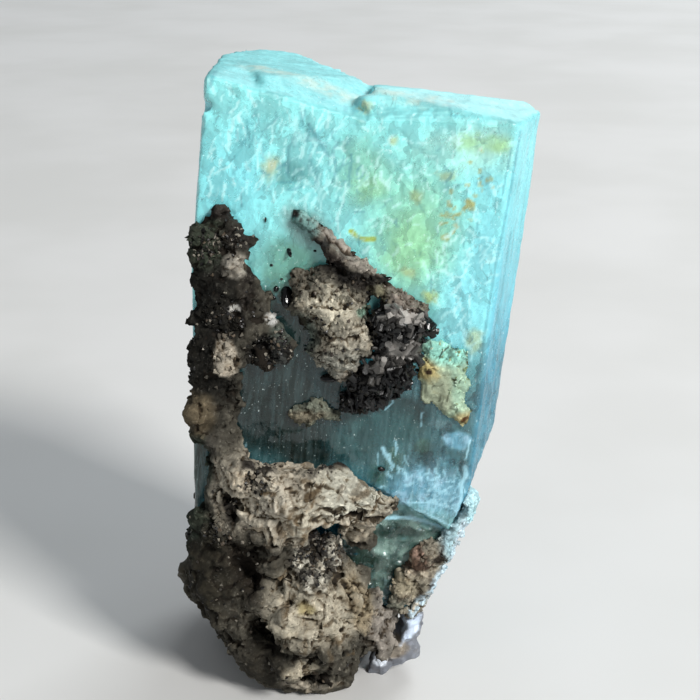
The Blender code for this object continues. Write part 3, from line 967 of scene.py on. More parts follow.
@dataclass(frozen=True)
class BerylFinish:
    """Translucent beryl: painted colour and milkiness, broken up by etch cells, streaks and sparkles."""

    name: str = "beryl"
    index: float = 1.575
    soak_colour: Triple = (0.42, 0.90, 0.93)
    soak: float = 22.0

    def material(self) -> bpy.types.Material:
        """Returns the finish as a material."""
        mix = Recipe(self.name)
        noise, span, times, plus, most = mix.noise, mix.span, mix.times, mix.plus, mix.most
        etched, fibrous, frosted = mix.layer("etching"), mix.layer("fibre"), mix.layer("frost")
        # Etch cells, clouds and feathery growth marks.
        tone = span(mix.tone_of(mix.cells(1.5, (1, 1, 1.5), 0.6)), 0.1, 0.9)
        small = mix.cells(0.62, (1, 1, 1.5), 0.5)
        small_tone = mix.tone_of(small)
        cloud = span(noise(3.2, 5, 0.66), 0.36, 0.64)
        patchy = span(noise(4.4, 3, 0.6), 0.42, 0.58)
        upright = span(noise(0.8, 5, 0.62, (1, 1, 3.2), 0.9, True, 24), 0.74, 1.05)
        leaning = span(noise(0.7, 5, 0.62, (1, 1, 2.8), 1.1, True, -38), 0.76, 1.05)
        feathers = most(times(upright, patchy), times(leaning, 0.7))
        frost_veins = span(noise(0.45, 5, 0.66, (1, 1, 1.5), 1.6, True, 40), 0.62, 0.98)
        feathers = most(times(feathers, etched), times(frost_veins, frosted))
        # Lines: dark veins, seams between the cells, and the fibres and grooves of the foot and sides.
        dark_veins = times(mix.vein(1.7, (1, 1, 1.7), 0.016), span(noise(2.9, 2), 0.46, 0.58))
        seams = mix.cells(2.1, (1, 1, 1.5), 0.9, "DISTANCE_TO_EDGE").outputs["Distance"]
        seams = times(times(span(seams, 0, 0.05, 1, 0), etched), span(noise(1.7, 2), 0.46, 0.56))
        fibres = times(span(noise(0.5, 4, 0.6, (1, 1, 9), 0.4), 0.40, 0.66), fibrous)
        grooves = times(span(noise(0.62, 3, 0.6, (1, 1, 14), 0.2), 0.56, 0.70), fibrous)
        sparkle = times(span(noise(0.26, 2, 0.5, (1, 1, 1.3)), 0.67, 0.73), span(cloud, 0, 1, 0.3, 1))
        colour = mix.layer("pigment", "Color")
        light = plus(plus(times(tone, 0.35), times(small_tone, 0.35)), times(cloud, 0.3))
        light = times(span(light, 0.1, 0.9, -0.085, 0.085), span(fibrous, 0, 1, 1, 0.3))
        colour = mix.shade(colour, plus(light, 1))
        colour = mix.blend(times(seams, 0.2), colour, tint(92, 172, 188))
        colour = mix.blend(times(dark_veins, 0.5), colour, mix.shade(colour, 0.42))
        colour = mix.blend(times(grooves, 0.38), colour, mix.shade(colour, 0.45))
        colour = mix.blend(times(fibres, 0.18), colour, tint(196, 240, 246))
        colour = mix.blend(times(feathers, 0.31), colour, tint(206, 250, 250))
        colour = mix.blend(times(sparkle, 0.6), colour, tint(236, 255, 255))
        milk = plus(plus(mix.layer("milk"), times(feathers, 0.3)), times(sparkle, 0.5))
        milk = plus(milk, span(tone, 0, 1, -0.08, 0.08))
        gloss = span(plus(times(small_tone, 0.5), cloud), 0.2, 1.3, 0.10, 0.32)
        normal = mix.bump(small.outputs["Distance"], 0.06, strength=0.6)
        return mix.finish(
            (self.soak_colour, self.soak),
            Base_Color=colour,
            Transmission_Weight=span(milk, 0, 1, 0.97, 0.04),
            Roughness=most(gloss, times(mix.layer("dull"), 0.55)),
            Normal=mix.bump(plus(fibres, feathers), 0.04, normal, 0.7),
            IOR=self.index,
        )


@dataclass(frozen=True)
class RockFinish:
    """Granular rock: painted colour, broken up by grains, with dark specks, painted shade in its hollows and
    painted highlights on its crests.
    """

    name: str
    grain: float = 0.5
    contrast: float = 0.5
    # The dark colour of the specks, and of the painted shade in the hollows.
    dirt_and_shade: Triple = tint(38, 33, 27)
    rough: float = 0.78
    relief: float = 0.12
    toned: bool = False
    speckle: float = 0.7

    def material(self) -> bpy.types.Material:
        """Returns the finish as a material."""
        mix = Recipe(self.name)
        noise, span, times, plus = mix.noise, mix.span, mix.times, mix.plus
        hollow = mix.layer("hollow")
        grains = mix.cells(self.grain, warp=0.5)
        fine_tone = mix.tone_of(mix.cells(self.grain * 0.45, warp=0.4))
        cloud = noise(1.9, 6, 0.66)
        value = plus(plus(times(mix.tone_of(grains), 0.3), times(fine_tone, 0.15)), times(cloud, 0.9))
        if self.toned:
            value = plus(value, span(mix.layer("tone"), 0, 1, -0.22, 0.30))
        value = span(value, 0.35, 1.0, 1.0 - self.contrast, 1.0 + self.contrast * 0.6)
        colour = mix.shade(mix.layer("pigment", "Color"), value)
        warm = span(noise(1.3, 4, 0.6), 0.52, 0.72, 0, 0.25)
        colour = mix.blend(warm, colour, mix.glaze(colour, (214, 182, 138)))
        # Dark specks and pale flecks.
        speck = noise(0.36, 3, 0.6)
        patchy = times(span(noise(2.4, 3, 0.6), 0.4, 0.6, 0.25, 1), self.speckle)
        colour = mix.blend(times(span(speck, 0.59, 0.67), patchy), colour, self.dirt_and_shade)
        flecks = times(span(speck, 0.33, 0.41, 0.8, 0), patchy)
        colour = mix.blend(flecks, colour, mix.blend(0.15, mix.shade(colour, 1.6), tint(196, 192, 180)))
        # Painted shade in the hollows, with some dirt from noise, and painted highlights on the crests.
        dirt_and_shade = plus(hollow, times(span(noise(0.42, 4, 0.7), 0.62, 0.76), 0.2))
        colour = mix.blend(span(dirt_and_shade, 0.05, 0.55, 0, 0.85), colour, mix.glaze(colour, (146, 130, 108)))
        colour = mix.blend(span(dirt_and_shade, 0.32, 0.92, 0, 0.9), colour, self.dirt_and_shade)
        colour = mix.shade(colour, span(mix.layer("crest"), 0, 1, 0.94, 1.26))
        # Glossier specks away from the hollows, brightened in colour as painted glints.
        gloss_and_painted_glints = times(span(fine_tone, 0.9, 0.94), span(hollow, 0, 0.3, 0.5, 0))
        colour = mix.blend(gloss_and_painted_glints, colour, mix.shade(colour, 1.6))
        rough = mix.calc("SUBTRACT", span(cloud, 0.3, 0.7, self.rough, self.rough + 0.14), times(gloss_and_painted_glints, 0.6))
        normal = mix.bump(grains.outputs["Distance"], self.relief, strength=0.7)
        normal = mix.bump(noise(0.22, 4, 0.7), self.relief * 0.8, normal, 0.8)
        return mix.finish(Base_Color=colour, Roughness=rough, Normal=normal, Specular_IOR_Level=0.2)


@dataclass(frozen=True)
class GrainFinish:
    """The finish of strewn grains: each grain takes its own tone between a dark and a pale colour."""

    name: str
    dark: Triple
    pale: Triple
    rough: float = 0.5
    turn: float = 0.5

    def material(self) -> bpy.types.Material:
        """Returns the finish as a material."""
        mix = Recipe(self.name)
        tone = mix.span(mix.layer("tone"), self.turn - 0.25, self.turn + 0.25)
        colour = mix.blend(tone, self.dark, self.pale)
        mottle = mix.noise(0.35, 4, 0.6)
        colour = mix.blend(mix.span(mottle, 0.35, 0.7, 0, 0.45), colour, mix.glaze(colour, (150, 140, 128)))
        rough = mix.span(mottle, 0.3, 0.7, self.rough * 0.7, self.rough * 1.2)
        return mix.finish(Base_Color=colour, Roughness=rough, Normal=mix.bump(mottle, 0.04))


@dataclass(frozen=True)
class TourmalineFinish:
    """Black tourmaline: glassy black with fine ribs, dusted with feldspar."""

    name: str = "schorl"
    index: float = 1.63

    def material(self) -> bpy.types.Material:
        """Returns the finish as a material."""
        mix = Recipe(self.name)
        pale = mix.layer("pale")
        mottle = mix.noise(0.6, 4, 0.6)
        colour = mix.blend(mix.span(mottle, 0.4, 0.7), tint(4, 4, 5), tint(15, 14, 14))
        dust = mix.most(mix.times(mix.span(mix.noise(0.4, 4, 0.65), 0.64, 0.74), 0.2), pale)
        colour = mix.blend(dust, colour, mix.blend(mottle, tint(112, 108, 103), tint(206, 202, 196)))
        rough = mix.span(mix.plus(mix.layer("tone"), mottle), 0.5, 1.3, 0.05, 0.34)
        return mix.finish(
            Base_Color=colour,
            Roughness=mix.most(rough, mix.times(pale, 0.75)),
            Normal=mix.bump(mix.noise(0.12, 2, 0.5, (1, 1, 6)), 0.03),
            IOR=self.index,
            Specular_IOR_Level=0.3,
        )


@dataclass(frozen=True)
class VeilFinish:
    """Healed fractures: thin, pale and half clear."""

    name: str = "veil"
    index: float = 1.35

    def material(self) -> bpy.types.Material:
        """Returns the finish as a material."""
        mix = Recipe(self.name)
        mottle = mix.noise(0.5, 4, 0.6)
        return mix.finish(
            Base_Color=mix.blend(mix.span(mottle, 0.35, 0.65), tint(150, 206, 222), tint(226, 248, 255)),
            Transmission_Weight=mix.span(mottle, 0.3, 0.62, 0.92, 0.25),
            Roughness=0.22,
            Normal=mix.bump(mottle, 0.05),
            IOR=self.index,
        )


@dataclass(frozen=True)
class FloorFinish:
    """Plain pale paper, mottled very faintly."""

    name: str = "floor_paint"

    def material(self) -> bpy.types.Material:
        """Returns the finish as a material."""
        mix = Recipe(self.name)
        mottle = mix.span(mix.noise(60, 3, 0.5), 0.3, 0.7)
        colour = mix.blend(mottle, tint(214, 214, 212), tint(222, 222, 221))
        return mix.finish(Base_Color=colour, Roughness=0.6)


Finish = BerylFinish | RockFinish | GrainFinish | TourmalineFinish | VeilFinish


def hand_over(piece: bpy.types.Object, finish: Finish, slot: Slot, *nodes: str) -> None:
    """Args:
        piece: the finished mesh.
        finish: the finish, which makes the material.
        slot: the record's material slot.
        *nodes: the CAD nodes that the piece stands for.
    """
    piece.data.materials.clear()
    piece.data.materials.append(finish.material())
    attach(piece, BODY)
    if nodes:
        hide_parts(*nodes)
    LOG.info("%s: %d faces, for %s", piece.name, len(piece.data.polygons), ", ".join(nodes) or slot.value)


# ------------------------------------------------------------------ the crystal


@dataclass(frozen=True)
class Zones:
    """How far each vertex of the prism lies in each of its painted zones, from 0 to 1."""

    front: np.ndarray
    upper: np.ndarray
    recess: np.ndarray
    end: np.ndarray
    strip: np.ndarray
    window: np.ndarray
    shards: np.ndarray
    ledge: np.ndarray
    deep: np.ndarray
    breaks: np.ndarray
    pale_marks: np.ndarray
    seam: np.ndarray


@dataclass(frozen=True)
class Aquamarine:
    """The prism: chipped edges, striated sides, an etched upper face and a fractured, clearer foot."""

    voxel: float = 0.42
    chip_voxel: float = 0.16
    # The end face lies above this height, and the broken hollow under the ledge deeper than this.
    top: float = 50.0
    recessed: float = 0.7
    finish: BerylFinish = BerylFinish()
    CHIPS = (
        Lump((-17.9, -0.1, 39.4), (1, 0.9, 1.9)), Lump((-18, 0, 37.3), (0.8, 0.8, 0.9)),
        Lump((-17.9, 0.2, 58.4), (0.7, 1.2, 1.6), 12), Lump((-17.3, 1, 60.9), (0.9, 1.6, 0.8), 30),
        Lump((-14.6, -0.2, 62.9), (1.3, 0.7, 0.7), 35), Lump((-11.8, -0.1, 64.2), (0.9, 0.9, 0.6), 25),
        Lump((5.4, 1.6, 63.9), (1.2, 0.9, 0.35), 5), Lump((12.4, 0.7, 63.5), (1.5, 1, 0.4), 8),
        Lump((16.5, -0.3, 58.2), (0.5, 0.5, 1.4)), Lump((20.3, 5.2, 60.8), (0.6, 1.2, 2.2)),
        Lump((20.3, 5, 49.6), (0.4, 0.8, 1.6)), Lump((20.2, 5.2, 33.2), (0.5, 1, 1.3)),
        Lump((18.6, 1.6, 17.6), (1.3, 1.2, 1.4), 25), Lump((17.2, 0.2, 18.6), (0.5, 0.7, 2.6), 8),
        Lump((16.3, -0.1, 24.4), (0.35, 0.5, 2.4)), Lump((20.1, 5.2, 20.6), (0.9, 1, 1.2)),
    )
    STEP_FILL = Lump((0.4, 2.4, 62.7), (1.5, 2.2, 1.2), 20)
    SIDE_LINES = (
        Relief(Pattern.SOFT, (1.1, 1.1, 30), 0.26, "sides", 1),
        Relief(Pattern.SOFT, (0.42, 0.42, 14), 0.14, "sides", 2),
        Relief(Pattern.HARD, (1.8, 1.8, 6), 0.14, "sides", 3),
    )
    ETCHING = (
        Relief(Pattern.SOFT, (2.4, 2.4, 3.6), 0.10, "etched", 2),
        Relief(Pattern.HARD, (1.2, 1.2, 2.4), 0.06, "etched", 3),
    )
    STEPS = (
        Fracture((2.3, 2.3, 3.4), 0.12, 311, lean=1.8, bend=0.4),
        Fracture((1, 1, 1.7), 0.07, 323, turn=25, lean=2, bend=0.4),
    )
    FRACTURES = (
        Relief(Pattern.HARD, (0.75, 0.75, 4.2), 0.20, "fractured", 3),
        Relief(Pattern.LUMPS, (2.6, 2.6, 1.8), 0.18, "fractured", level=0.4),
    )
    RECESS = (
        Relief(Pattern.LUMPS, (2.3, 2.3, 1.7), 0.7, "recess", level=0.4),
        Relief(Pattern.HARD, (0.9, 0.9, 0.8), 0.3, "recess", 3),
    )
    END_FACE = (
        Relief(Pattern.SOFT, (5, 0.6, 0.6), 0.12, "end", 2),
        Relief(Pattern.HARD, (1.2, 1.2, 1.2), 0.14, "end", 3),
        Relief(Pattern.SOFT, (6, 0.5, 0.4), 0.20, "bevel", 2, turn=-10),
    )
    ARRISES = (
        Relief(Pattern.LUMPS, (1.3, 1.3, 1.9), 0.24, "arris", level=0.7),
        Relief(Pattern.HARD, (0.6, 0.6, 0.9), 0.10, "arris", 2),
    )
    # The foot's window, painted near black as shade.
    SHADED_WINDOW = (
        Blot((-2, 0, 25), (11, 4, 6), edge=0.7), Blot((-7, 0, 36), (5.6, 4, 6.6), edge=0.6),
        Blot((-4, 0, 29.6), (9, 4, 5.6), edge=0.5), Blot((8, 0, 27), (4, 4, 3.5)),
    )
    SHARDS = (
        Blot((10.8, 0, 18.8), (3.4, 3, 2), edge=1.2, wander=1.2),
        Blot((13.9, 0, 18.2), (3.8, 3, 2.9), edge=1.2, wander=1.1),
        Blot((15.1, 0, 24.9), (1.7, 3, 1.2), edge=0.4),
        Blot((8.4, 0, 16.8), (2.4, 3, 1.4), edge=1, wander=1),
    )
    # Pale edges of the breaks in the clearer foot.
    BREAKS = (
        Stroke(((6.5, 23), (6.9, 22.1), (7.5, 21.4), (7.9, 20.9)), 0.24),
        Stroke(((7.3, 22.3), (7.5, 21.7)), 0.16), Stroke(((9, 20.6), (9.5, 20), (9.8, 19.3)), 0.16),
        Stroke(((9.2, 15.6), (12.4, 15.2), (16.2, 13.5)), 0.16),
        Stroke(((9.4, 16.1), (13, 16.6), (16.4, 15.8)), 0.16),
        Stroke(((8, 13.2), (11, 13.6), (15.2, 12.6)), 0.24), Stroke(((16.6, 25), (16.4, 22.6)), 0.12),
        Stroke(((16.4, 21.6), (16.7, 20.4), (16.2, 19.3), (16.7, 18), (16.4, 16.4)), 0.34),
        Scratches((13.4, 17.9), (3.2, 2.7), 70, (0.4, 1.3), 50, 60, 0.15, 5),
        Scratches((9.6, 19.8), (2.6, 2.2), 16, (0.4, 1.2), -30, 45, 0.14, 7),
        Scratches((0, 24), (11, 4), 7, (0.6, 2.2), 4, 9, 0.10, 9),
    )
    LEDGE = (
        Blot((12.2, 0, 14.8), (5, 3, 1.4), -6, wander=0.8),
        Blot((14.6, 0, 13.6), (2.6, 3, 1.4), wander=0.8),
    )
    # Dark and pale parts of the broken hollow under the ledge.
    HOLLOW = (
        (Blot((9.6, 3, 11.5), (3.8, 4, 0.8), 6, edge=0.5, wander=1), (34, 56, 48)),
        (Blot((10.4, 3, 10.4), (1.6, 4, 0.7), edge=0.6, wander=1), (92, 126, 118)),
        (Blot((8.4, 3, 9.2), (1.3, 4, 0.8), edge=0.5, wander=1), (146, 178, 168)),
        (Blot((11.3, 3, 8.7), (1.2, 4, 0.9), edge=0.5, wander=1), (150, 182, 170)),
        (Blot((14, 3, 9.8), (1.5, 4, 1.2), edge=0.6, wander=1), (46, 76, 58)),
        (Blot((9.9, 3, 6), (1.5, 4, 1.6), edge=0.4, wander=0.8), (28, 46, 38)),
        (Blot((5.7, 3, 5.8), (1.1, 4, 1.6), edge=0.5, wander=0.8), (28, 44, 38)),
        (Blot((7.8, 3, 5.4), (1.2, 4, 1.2), edge=0.6, wander=1.2), (112, 136, 126)),
        (Blot((8.3, 3, 3.4), (2.2, 4, 0.8), edge=0.4, wander=0.6), (16, 28, 22)),
        (Blot((8.2, 3, 1.6), (2.4, 4, 1), edge=0.6, wander=1), (96, 110, 98)),
    )
    GREEN_BREAKS = (
        Blot((7.9, 0, 21.6), (1.2, 2, 1.3), wander=1), Blot((11.2, 0, 23.6), (0.9, 2, 1), wander=1),
        Blot((6.4, 0, 19.4), (1.2, 2, 1.6), edge=0.9, wander=1),
    )
    MILKY = (
        (Blot((-17.5, 2, 19), (3.4, 9, 12)), 0.85),
        (Blot((-9.7, 0, 55), (0.9, 2, 1.2), wander=1.2, edge=1), 0.8),
        (Stroke(((-1.1, 54.4), (-1.2, 52.3), (-1.7, 50.1), (-1.3, 48.6), (-0.9, 47.5)), 0.18), 0.9),
        (Stroke(((-0.1, 48.7), (0.9, 48.3), (2.7, 48.2)), 0.26), 0.9),
    )
    PALE_MARKS = (
        Stroke(((-1.1, 54.4), (-1.2, 52.3), (-1.7, 50.1), (-1.3, 48.6), (-0.9, 47.5)), 0.14),
        Scratches((-9, 57), (7.5, 6.5), 90, (0.6, 2.6), 12, 22, 0.15, 11),
        Scratches((-2, 55), (7, 6), 60, (0.5, 1.8), -14, 30, 0.14, 13),
        Scratches((8, 53), (8, 9), 110, (0.4, 1.3), 30, 50, 0.14, 17),
        Scratches((13, 42), (3.6, 8), 60, (0.5, 1.8), 14, 30, 0.15, 19),
    )
    DARK_MARKS = (
        Stroke(((-7.8, 57.6), (-7.6, 54.7)), 0.17),
        Stroke(((-5.8, 60.3), (-4.6, 58.7), (-3.4, 57.2)), 0.24), Stroke(((-8.2, 53.6), (-6.2, 54)), 0.16),
        Stroke(((-3, 57.8), (-2.3, 55.8), (-2.6, 54.2)), 0.16),
        Stroke(((-0.9, 57.5), (-0.8, 56), (-0.8, 53.9)), 0.17), Stroke(((-8.8, 55.1), (-7.6, 56)), 0.14),
        Stroke(((-16.6, 64.7), (-16.8, 63.4)), 0.18), Stroke(((-6.4, 61.8), (-6.5, 60)), 0.14),
        Stroke(((-12.5, 59.6), (-12.1, 58.1)), 0.14), Stroke(((-12.5, 52), (-12.3, 50.4)), 0.12),
        Scratches((-7, 56), (6, 5), 46, (0.4, 1.9), 8, 26, 0.13, 23),
        Scratches((3, 55), (8, 8), 40, (0.4, 1.2), 20, 50, 0.12, 29),
        Scratches((-13, 58), (3.6, 5), 16, (0.5, 1.4), 16, 20, 0.12, 31),
        Scratches((13, 46), (3.4, 12), 26, (0.5, 1.8), 8, 20, 0.12, 37),
    )
    EDGE_LINES = (
        Stroke(((17.3, 61.8), (17.1, 54.2), (16.6, 46.1), (16.5, 36), (16.4, 27)), 0.17, 7),
        Stroke(((16.5, 60), (16.2, 54)), 0.12, 7), Stroke(((18, 50), (17.8, 36)), 0.14, 7),
    )
    RUST = (202, 216, 180)
    PIGMENTS = (
        (Blot((-14, 0, 52.5), (4.2, 9, 7), edge=1.4), (148, 246, 254)),
        (Blot((-4, 0, 55.5), (4.6, 3, 6), edge=1.4), (150, 240, 242)),
        (Blot((14.6, 0, 44), (3.6, 9, 12), edge=1.2), (150, 242, 252)),
        (Blot((7, 0, 49.5), (4.8, 3, 7), edge=1.4), (162, 238, 206)),
        (Blot((7.2, 0, 47.6), (2.6, 3, 3.4), edge=1.2, wander=1), (162, 232, 184)),
        (Blot((12.6, 0, 59.6), (5, 3, 2.2), edge=1.6, wander=1.1), (186, 252, 240)),
        (Blot((15, 0, 60.3), (1.2, 3, 0.9), edge=1.6, wander=1), (180, 236, 180)),
        (Blot((12, 0, 60.2), (1.4, 3, 0.9), edge=1.6, wander=1), (176, 234, 186)),
        (Blot((0.6, 0, 55.4), (2.8, 3, 4), edge=1.6, wander=1), (146, 220, 200)),
        (Blot((1.5, 0, 53.9), (1.6, 3, 1.3), edge=1.6, wander=1), (160, 230, 188)),
        (Blot((-6.2, 0, 43.6), (4, 3, 4), edge=1), (112, 176, 160)),
        (Blot((-4.8, 0, 48.6), (3, 3, 2), -35, edge=1), (128, 176, 172)),
        (Blot((-7.4, 0, 54.6), (2.2, 2, 1.6), 8, edge=1, wander=1), (118, 200, 200)),
        # The left edge of the foot, dark green-grey: painted shade on the side that the light misses.
        (Blot((-17, 0, 18), (3.4, 9, 12)), (46, 58, 48)),
        (Stroke(((0, 48.9), (0.8, 48.3), (1.6, 48.1), (2.7, 48.2)), 0.26), (164, 190, 88)),
        (Blot((-9.6, 0, 55), (1, 2, 1.3), edge=1.2, wander=1.4), (172, 206, 178)),
        (Blot((-9.5, 0, 55.4), (0.45, 2, 0.5), edge=1, wander=1.4), RUST),
        (Blot((-0.2, 0.6, 63), (0.9, 2, 1.3), edge=1.2, wander=0.8), (186, 216, 182)),
        (Blot((9.8, 0, 56.2), (1, 2, 0.6), edge=1.2, wander=1.4), (178, 222, 186)),
        (Blot((12.6, 0, 53.6), (0.3, 2, 0.3), edge=1, wander=1.2), RUST),
        (Scratches((11.8, 53), (1.5, 1.5), 16, (0.1, 0.4), 60, 60, 0.24, 47), (186, 196, 132)),
        (Scratches((10.6, 50.6), (1.1, 1.5), 14, (0.1, 0.4), 60, 60, 0.24, 49), (184, 194, 124)),
        (Scratches((13.6, 56.6), (1.6, 3), 12, (0.1, 0.4), 60, 60, 0.2, 51), (190, 206, 150)),
        (Blot((6.9, 0, 53.6), (0.7, 2, 0.7), edge=1.2, wander=1.4), (176, 218, 170)),
        (Blot((6.9, 0, 44.8), (0.7, 2, 0.6), edge=1.2, wander=1.4), (178, 212, 160)),
        (Blot((9.7, 0, 42.1), (0.8, 2, 0.7), edge=1.2, wander=1.4), (178, 212, 150)),
        (Blot((3.5, 0, 59.6), (0.5, 2, 0.5), edge=1.2, wander=1.4), (184, 220, 180)),
        (Blot((15.4, 0, 37.4), (0.9, 2, 1.3), edge=1.2, wander=1.2), (186, 226, 196)),
    )
    # A pale, hazy seam runs across the end face.
    SEAM = (
        (-12.3, 8, 64.6), (-10.2, 6.6, 64.6), (-8, 5.4, 64.5), (-5.8, 4.6, 64.4), (-3.6, 4, 64.2),
        (-1.6, 3.4, 63.9), (2.4, 2.6, 63.6), (5, 2.4, 63.7), (8.2, 2.8, 63.9),
    )

    def wear(self, piece: bpy.types.Object) -> None:
        """Breaks the chips out of the prism's edges.

        Args:
            piece: the mesh object.
        """
        tool = join([chip.build() for chip in self.CHIPS], "chip_tool")
        modify(tool, "REMESH", mode="VOXEL", voxel_size=self.chip_voxel * MM)
        Relief(Pattern.HARD, (0.9, 0.9, 0.9), 0.25).carve(tool)
        modify(piece, "BOOLEAN", operation="DIFFERENCE", solver="EXACT", object=tool, use_self=True)
        bpy.data.objects.remove(tool)

    def etched(self, points: np.ndarray, normals: np.ndarray) -> tuple[np.ndarray, np.ndarray]:
        """Returns how much each vertex belongs to the front face, and to the etched upper part."""
        return ramp(-normals[:, 1], 0.70, 0.93), ramp(points[:, 2] + 3.0 * haze(points, 4.0, 5), 33.0, 43.0)

    def mark_faces(self, piece: bpy.types.Object) -> None:
        """Stores the weights that say which relief each face carries.

        Args:
            piece: the mesh object.
        """
        points, normals = points_of(piece), normals_of(piece)
        height, rise = points[:, 2], normals[:, 2]
        front, upper = self.etched(points, normals)
        on_top = height > self.top
        recess = (points[:, 1] > self.recessed) * front * (1.0 - ramp(height, 16.0, 17.5))
        weigh(piece, "sides", (1.0 - front) * (1.0 - ramp(rise, 0.2, 0.4)) * (height > 2.5))
        weigh(piece, "etched", front * upper)
        weigh(piece, "fractured", front * (1.0 - upper) * (1.0 - recess))
        weigh(piece, "recess", recess)
        weigh(piece, "end", ramp(rise, 0.55, 0.9) * on_top)
        weigh(piece, "bevel", ramp(rise, 0.2, 0.45) * (1.0 - ramp(rise, 0.86, 0.96)) * on_top)
        weigh(piece, "arris", ramp(-hollows(piece, 24), 0.10, 0.30) * (height > 3.0))

    def zones(self, points: np.ndarray, normals: np.ndarray) -> Zones:
        """Returns how far each vertex lies in each zone that is painted.

        Args:
            points: the places.
            normals: the normals there.

        Returns:
            The share of each zone.
        """
        height, depth = points[:, 2], points[:, 1]
        front = ramp(-normals[:, 1], 0.6, 0.9)
        foot = 1.0 - ramp(height, 15.0, 16.5)
        recess = (depth > self.recessed) * front * foot
        strip = np.maximum(ramp(points[:, 0], 16.2, 17.4), (1.0 - front) * (depth > 1.0))
        behind = (np.abs(depth - 4.8) < 4.5) * (np.abs(points[:, 0] - 6.5) < 9.0)
        seam = covered(points, tuple(Blot(place, (2.4, 1.3, 2), edge=1.0, wander=0.6) for place in self.SEAM))
        return Zones(
            front=front,
            upper=ramp(height + 5.0 * (haze(points, 5.0, 3) - 0.5), 30.0, 43.0),
            recess=recess,
            end=ramp(normals[:, 2], 0.3, 0.7) * (height > self.top),
            strip=strip * (1.0 - recess),
            window=covered(points, self.SHADED_WINDOW) * (1.0 - ramp(height, 39.0, 47.0)),
            shards=covered(points, self.SHARDS),
            ledge=covered(points, self.LEDGE),
            deep=behind * foot,
            breaks=covered(points, self.BREAKS) * (front + 0.3 * recess > 0.2),
            pale_marks=covered(points, self.PALE_MARKS) * front,
            seam=seam * (0.25 + 0.75 * ramp(haze(points, 0.8, 61), 0.35, 0.65)),
        )

    def colour_foot(self, colour: np.ndarray, points: np.ndarray, zone: Zones) -> None:
        """Colours the foot: its window painted near black as shade, painted shade further back and under the
        crust, its breaks, the ledge and the broken hollow.

        Args:
            colour: the colours, which are changed.
            points: the places.
            zone: the zones' shares.
        """
        for share, shade in (
            # The window painted near black: painted shade.
            (zone.window * 0.97, (9, 21, 16)),
            (Blot((6, 0, 24.6), (5, 4, 4), edge=0.9).cover(points) * 0.5, (60, 112, 114)),
            # Dark grey-green under the crust: painted shade between the crust and the heap.
            (Blot((5.6, 0, 38), (2.6, 4, 4.4), edge=0.5).cover(points) * 0.9, (48, 56, 50)),
            (zone.recess * 0.9, (76, 100, 90)),
            (zone.recess * ramp(haze(points, 0.9, 43), 0.44, 0.58) * 0.6, (130, 158, 148)),
            (zone.ledge * 0.85, (132, 190, 192)),
            (Blot((13, 0, 26.7), (1.4, 3, 0.6), edge=0.4).cover(points) * 0.6, (150, 188, 192)),
            # Dark green-grey towards the back of the foot: painted shade where the matrix keeps the light
            # off.
            (zone.deep * (1.0 - zone.recess) * 0.9, (58, 80, 70)),
            (Blot((5.6, 0, 6), (3.6, 9, 3.4)).cover(points) * 0.9, (46, 66, 56)),
            (zone.shards * 0.7, (116, 182, 212)),
            (zone.shards * ramp(haze(points, 0.9, 51), 0.5, 0.62) * 0.7, (172, 220, 244)),
            (covered(points, self.GREEN_BREAKS) * 0.75, (66, 106, 84)),
        ):
            wash(colour, share, shade)
        hollow = points[:, 1] > self.recessed
        for blot, shade in self.HOLLOW:
            wash(colour, blot.cover(points) * hollow * 0.85, shade)

    def colour_sides(self, colour: np.ndarray, points: np.ndarray, zone: Zones) -> None:
        """Colours the side strip, which pales upwards as painted light from above and behind, and the clouded
        end face.

        Args:
            colour: the colours, which are changed.
            points: the places.
            zone: the zones' shares.
        """
        height = points[:, 2]
        rise = ramp(height, 30.0, 62.0)[:, None]
        # Paler upwards: painted light on the side from above and behind.
        pale = np.array(tint(74, 160, 190)) * (1.0 - rise) + np.array(tint(140, 224, 234)) * rise
        pale *= (0.8 + 0.4 * haze(points * np.array((1.0, 1.0, 0.2)), 1.6, 47))[:, None]
        colour += (pale - colour) * (zone.strip * 0.85)[:, None]
        wash(colour, zone.end * 0.85, (132, 216, 220))
        wash(colour, ramp(height + 0.11 * points[:, 0], 64.2, 65.4) * zone.end * 0.5, (172, 238, 240))
        clouds = 0.9 * haze(points * np.array((0.35, 1.0, 1.0)), 1.3, 71) + 0.9 * haze(points, 3.4, 73) - 0.9
        colour *= 1.0 + (0.5 * zone.end * clouds)[:, None]

    def colours(self, points: np.ndarray, zone: Zones) -> np.ndarray:
        """Returns the beryl's colour at each vertex, from its base to its finest marks.

        Args:
            points: the places.
            zone: the zones' shares.

        Returns:
            One linear colour for each vertex.
        """
        # The base darkens towards the foot: painted shade, where the matrix keeps the light off.
        low, high = np.array(tint(92, 148, 154)), np.array(tint(158, 250, 251))
        colour = painted(points, low + (high - low) * zone.upper[:, None], self.PIGMENTS)
        self.colour_foot(colour, points, zone)
        self.colour_sides(colour, points, zone)
        wash(colour, zone.breaks * 0.75, (172, 226, 244))
        wash(colour, zone.pale_marks * 0.6, (206, 250, 250))
        wash(colour, covered(points, self.DARK_MARKS + self.EDGE_LINES) * 0.6, (84, 162, 176))
        wash(colour, zone.seam * 0.55, (206, 214, 196))
        return colour

    def milkiness(self, piece: bpy.types.Object, points: np.ndarray, zone: Zones) -> np.ndarray:
        """Returns how milky the beryl is at each vertex, from 0 for clear to 1.

        Args:
            piece: the mesh object.
            points: the places.
            zone: the zones' shares.

        Returns:
            One value for each vertex.
        """
        milk = 0.30 + 0.40 * zone.upper + 0.44 * zone.window + 0.3 * zone.ledge + 0.4 * zone.deep
        milk = milk + 0.34 * zone.shards + 0.12 * zone.end + 0.25 * zone.strip + 0.3 * zone.seam
        milk += 0.3 * zone.breaks + 0.25 * zone.pale_marks
        milk += 0.15 * ramp(-hollows(piece, 12), 0.06, 0.2)
        for blot, amount in self.MILKY:
            milk += (amount - milk) * blot.cover(points)
        return milk

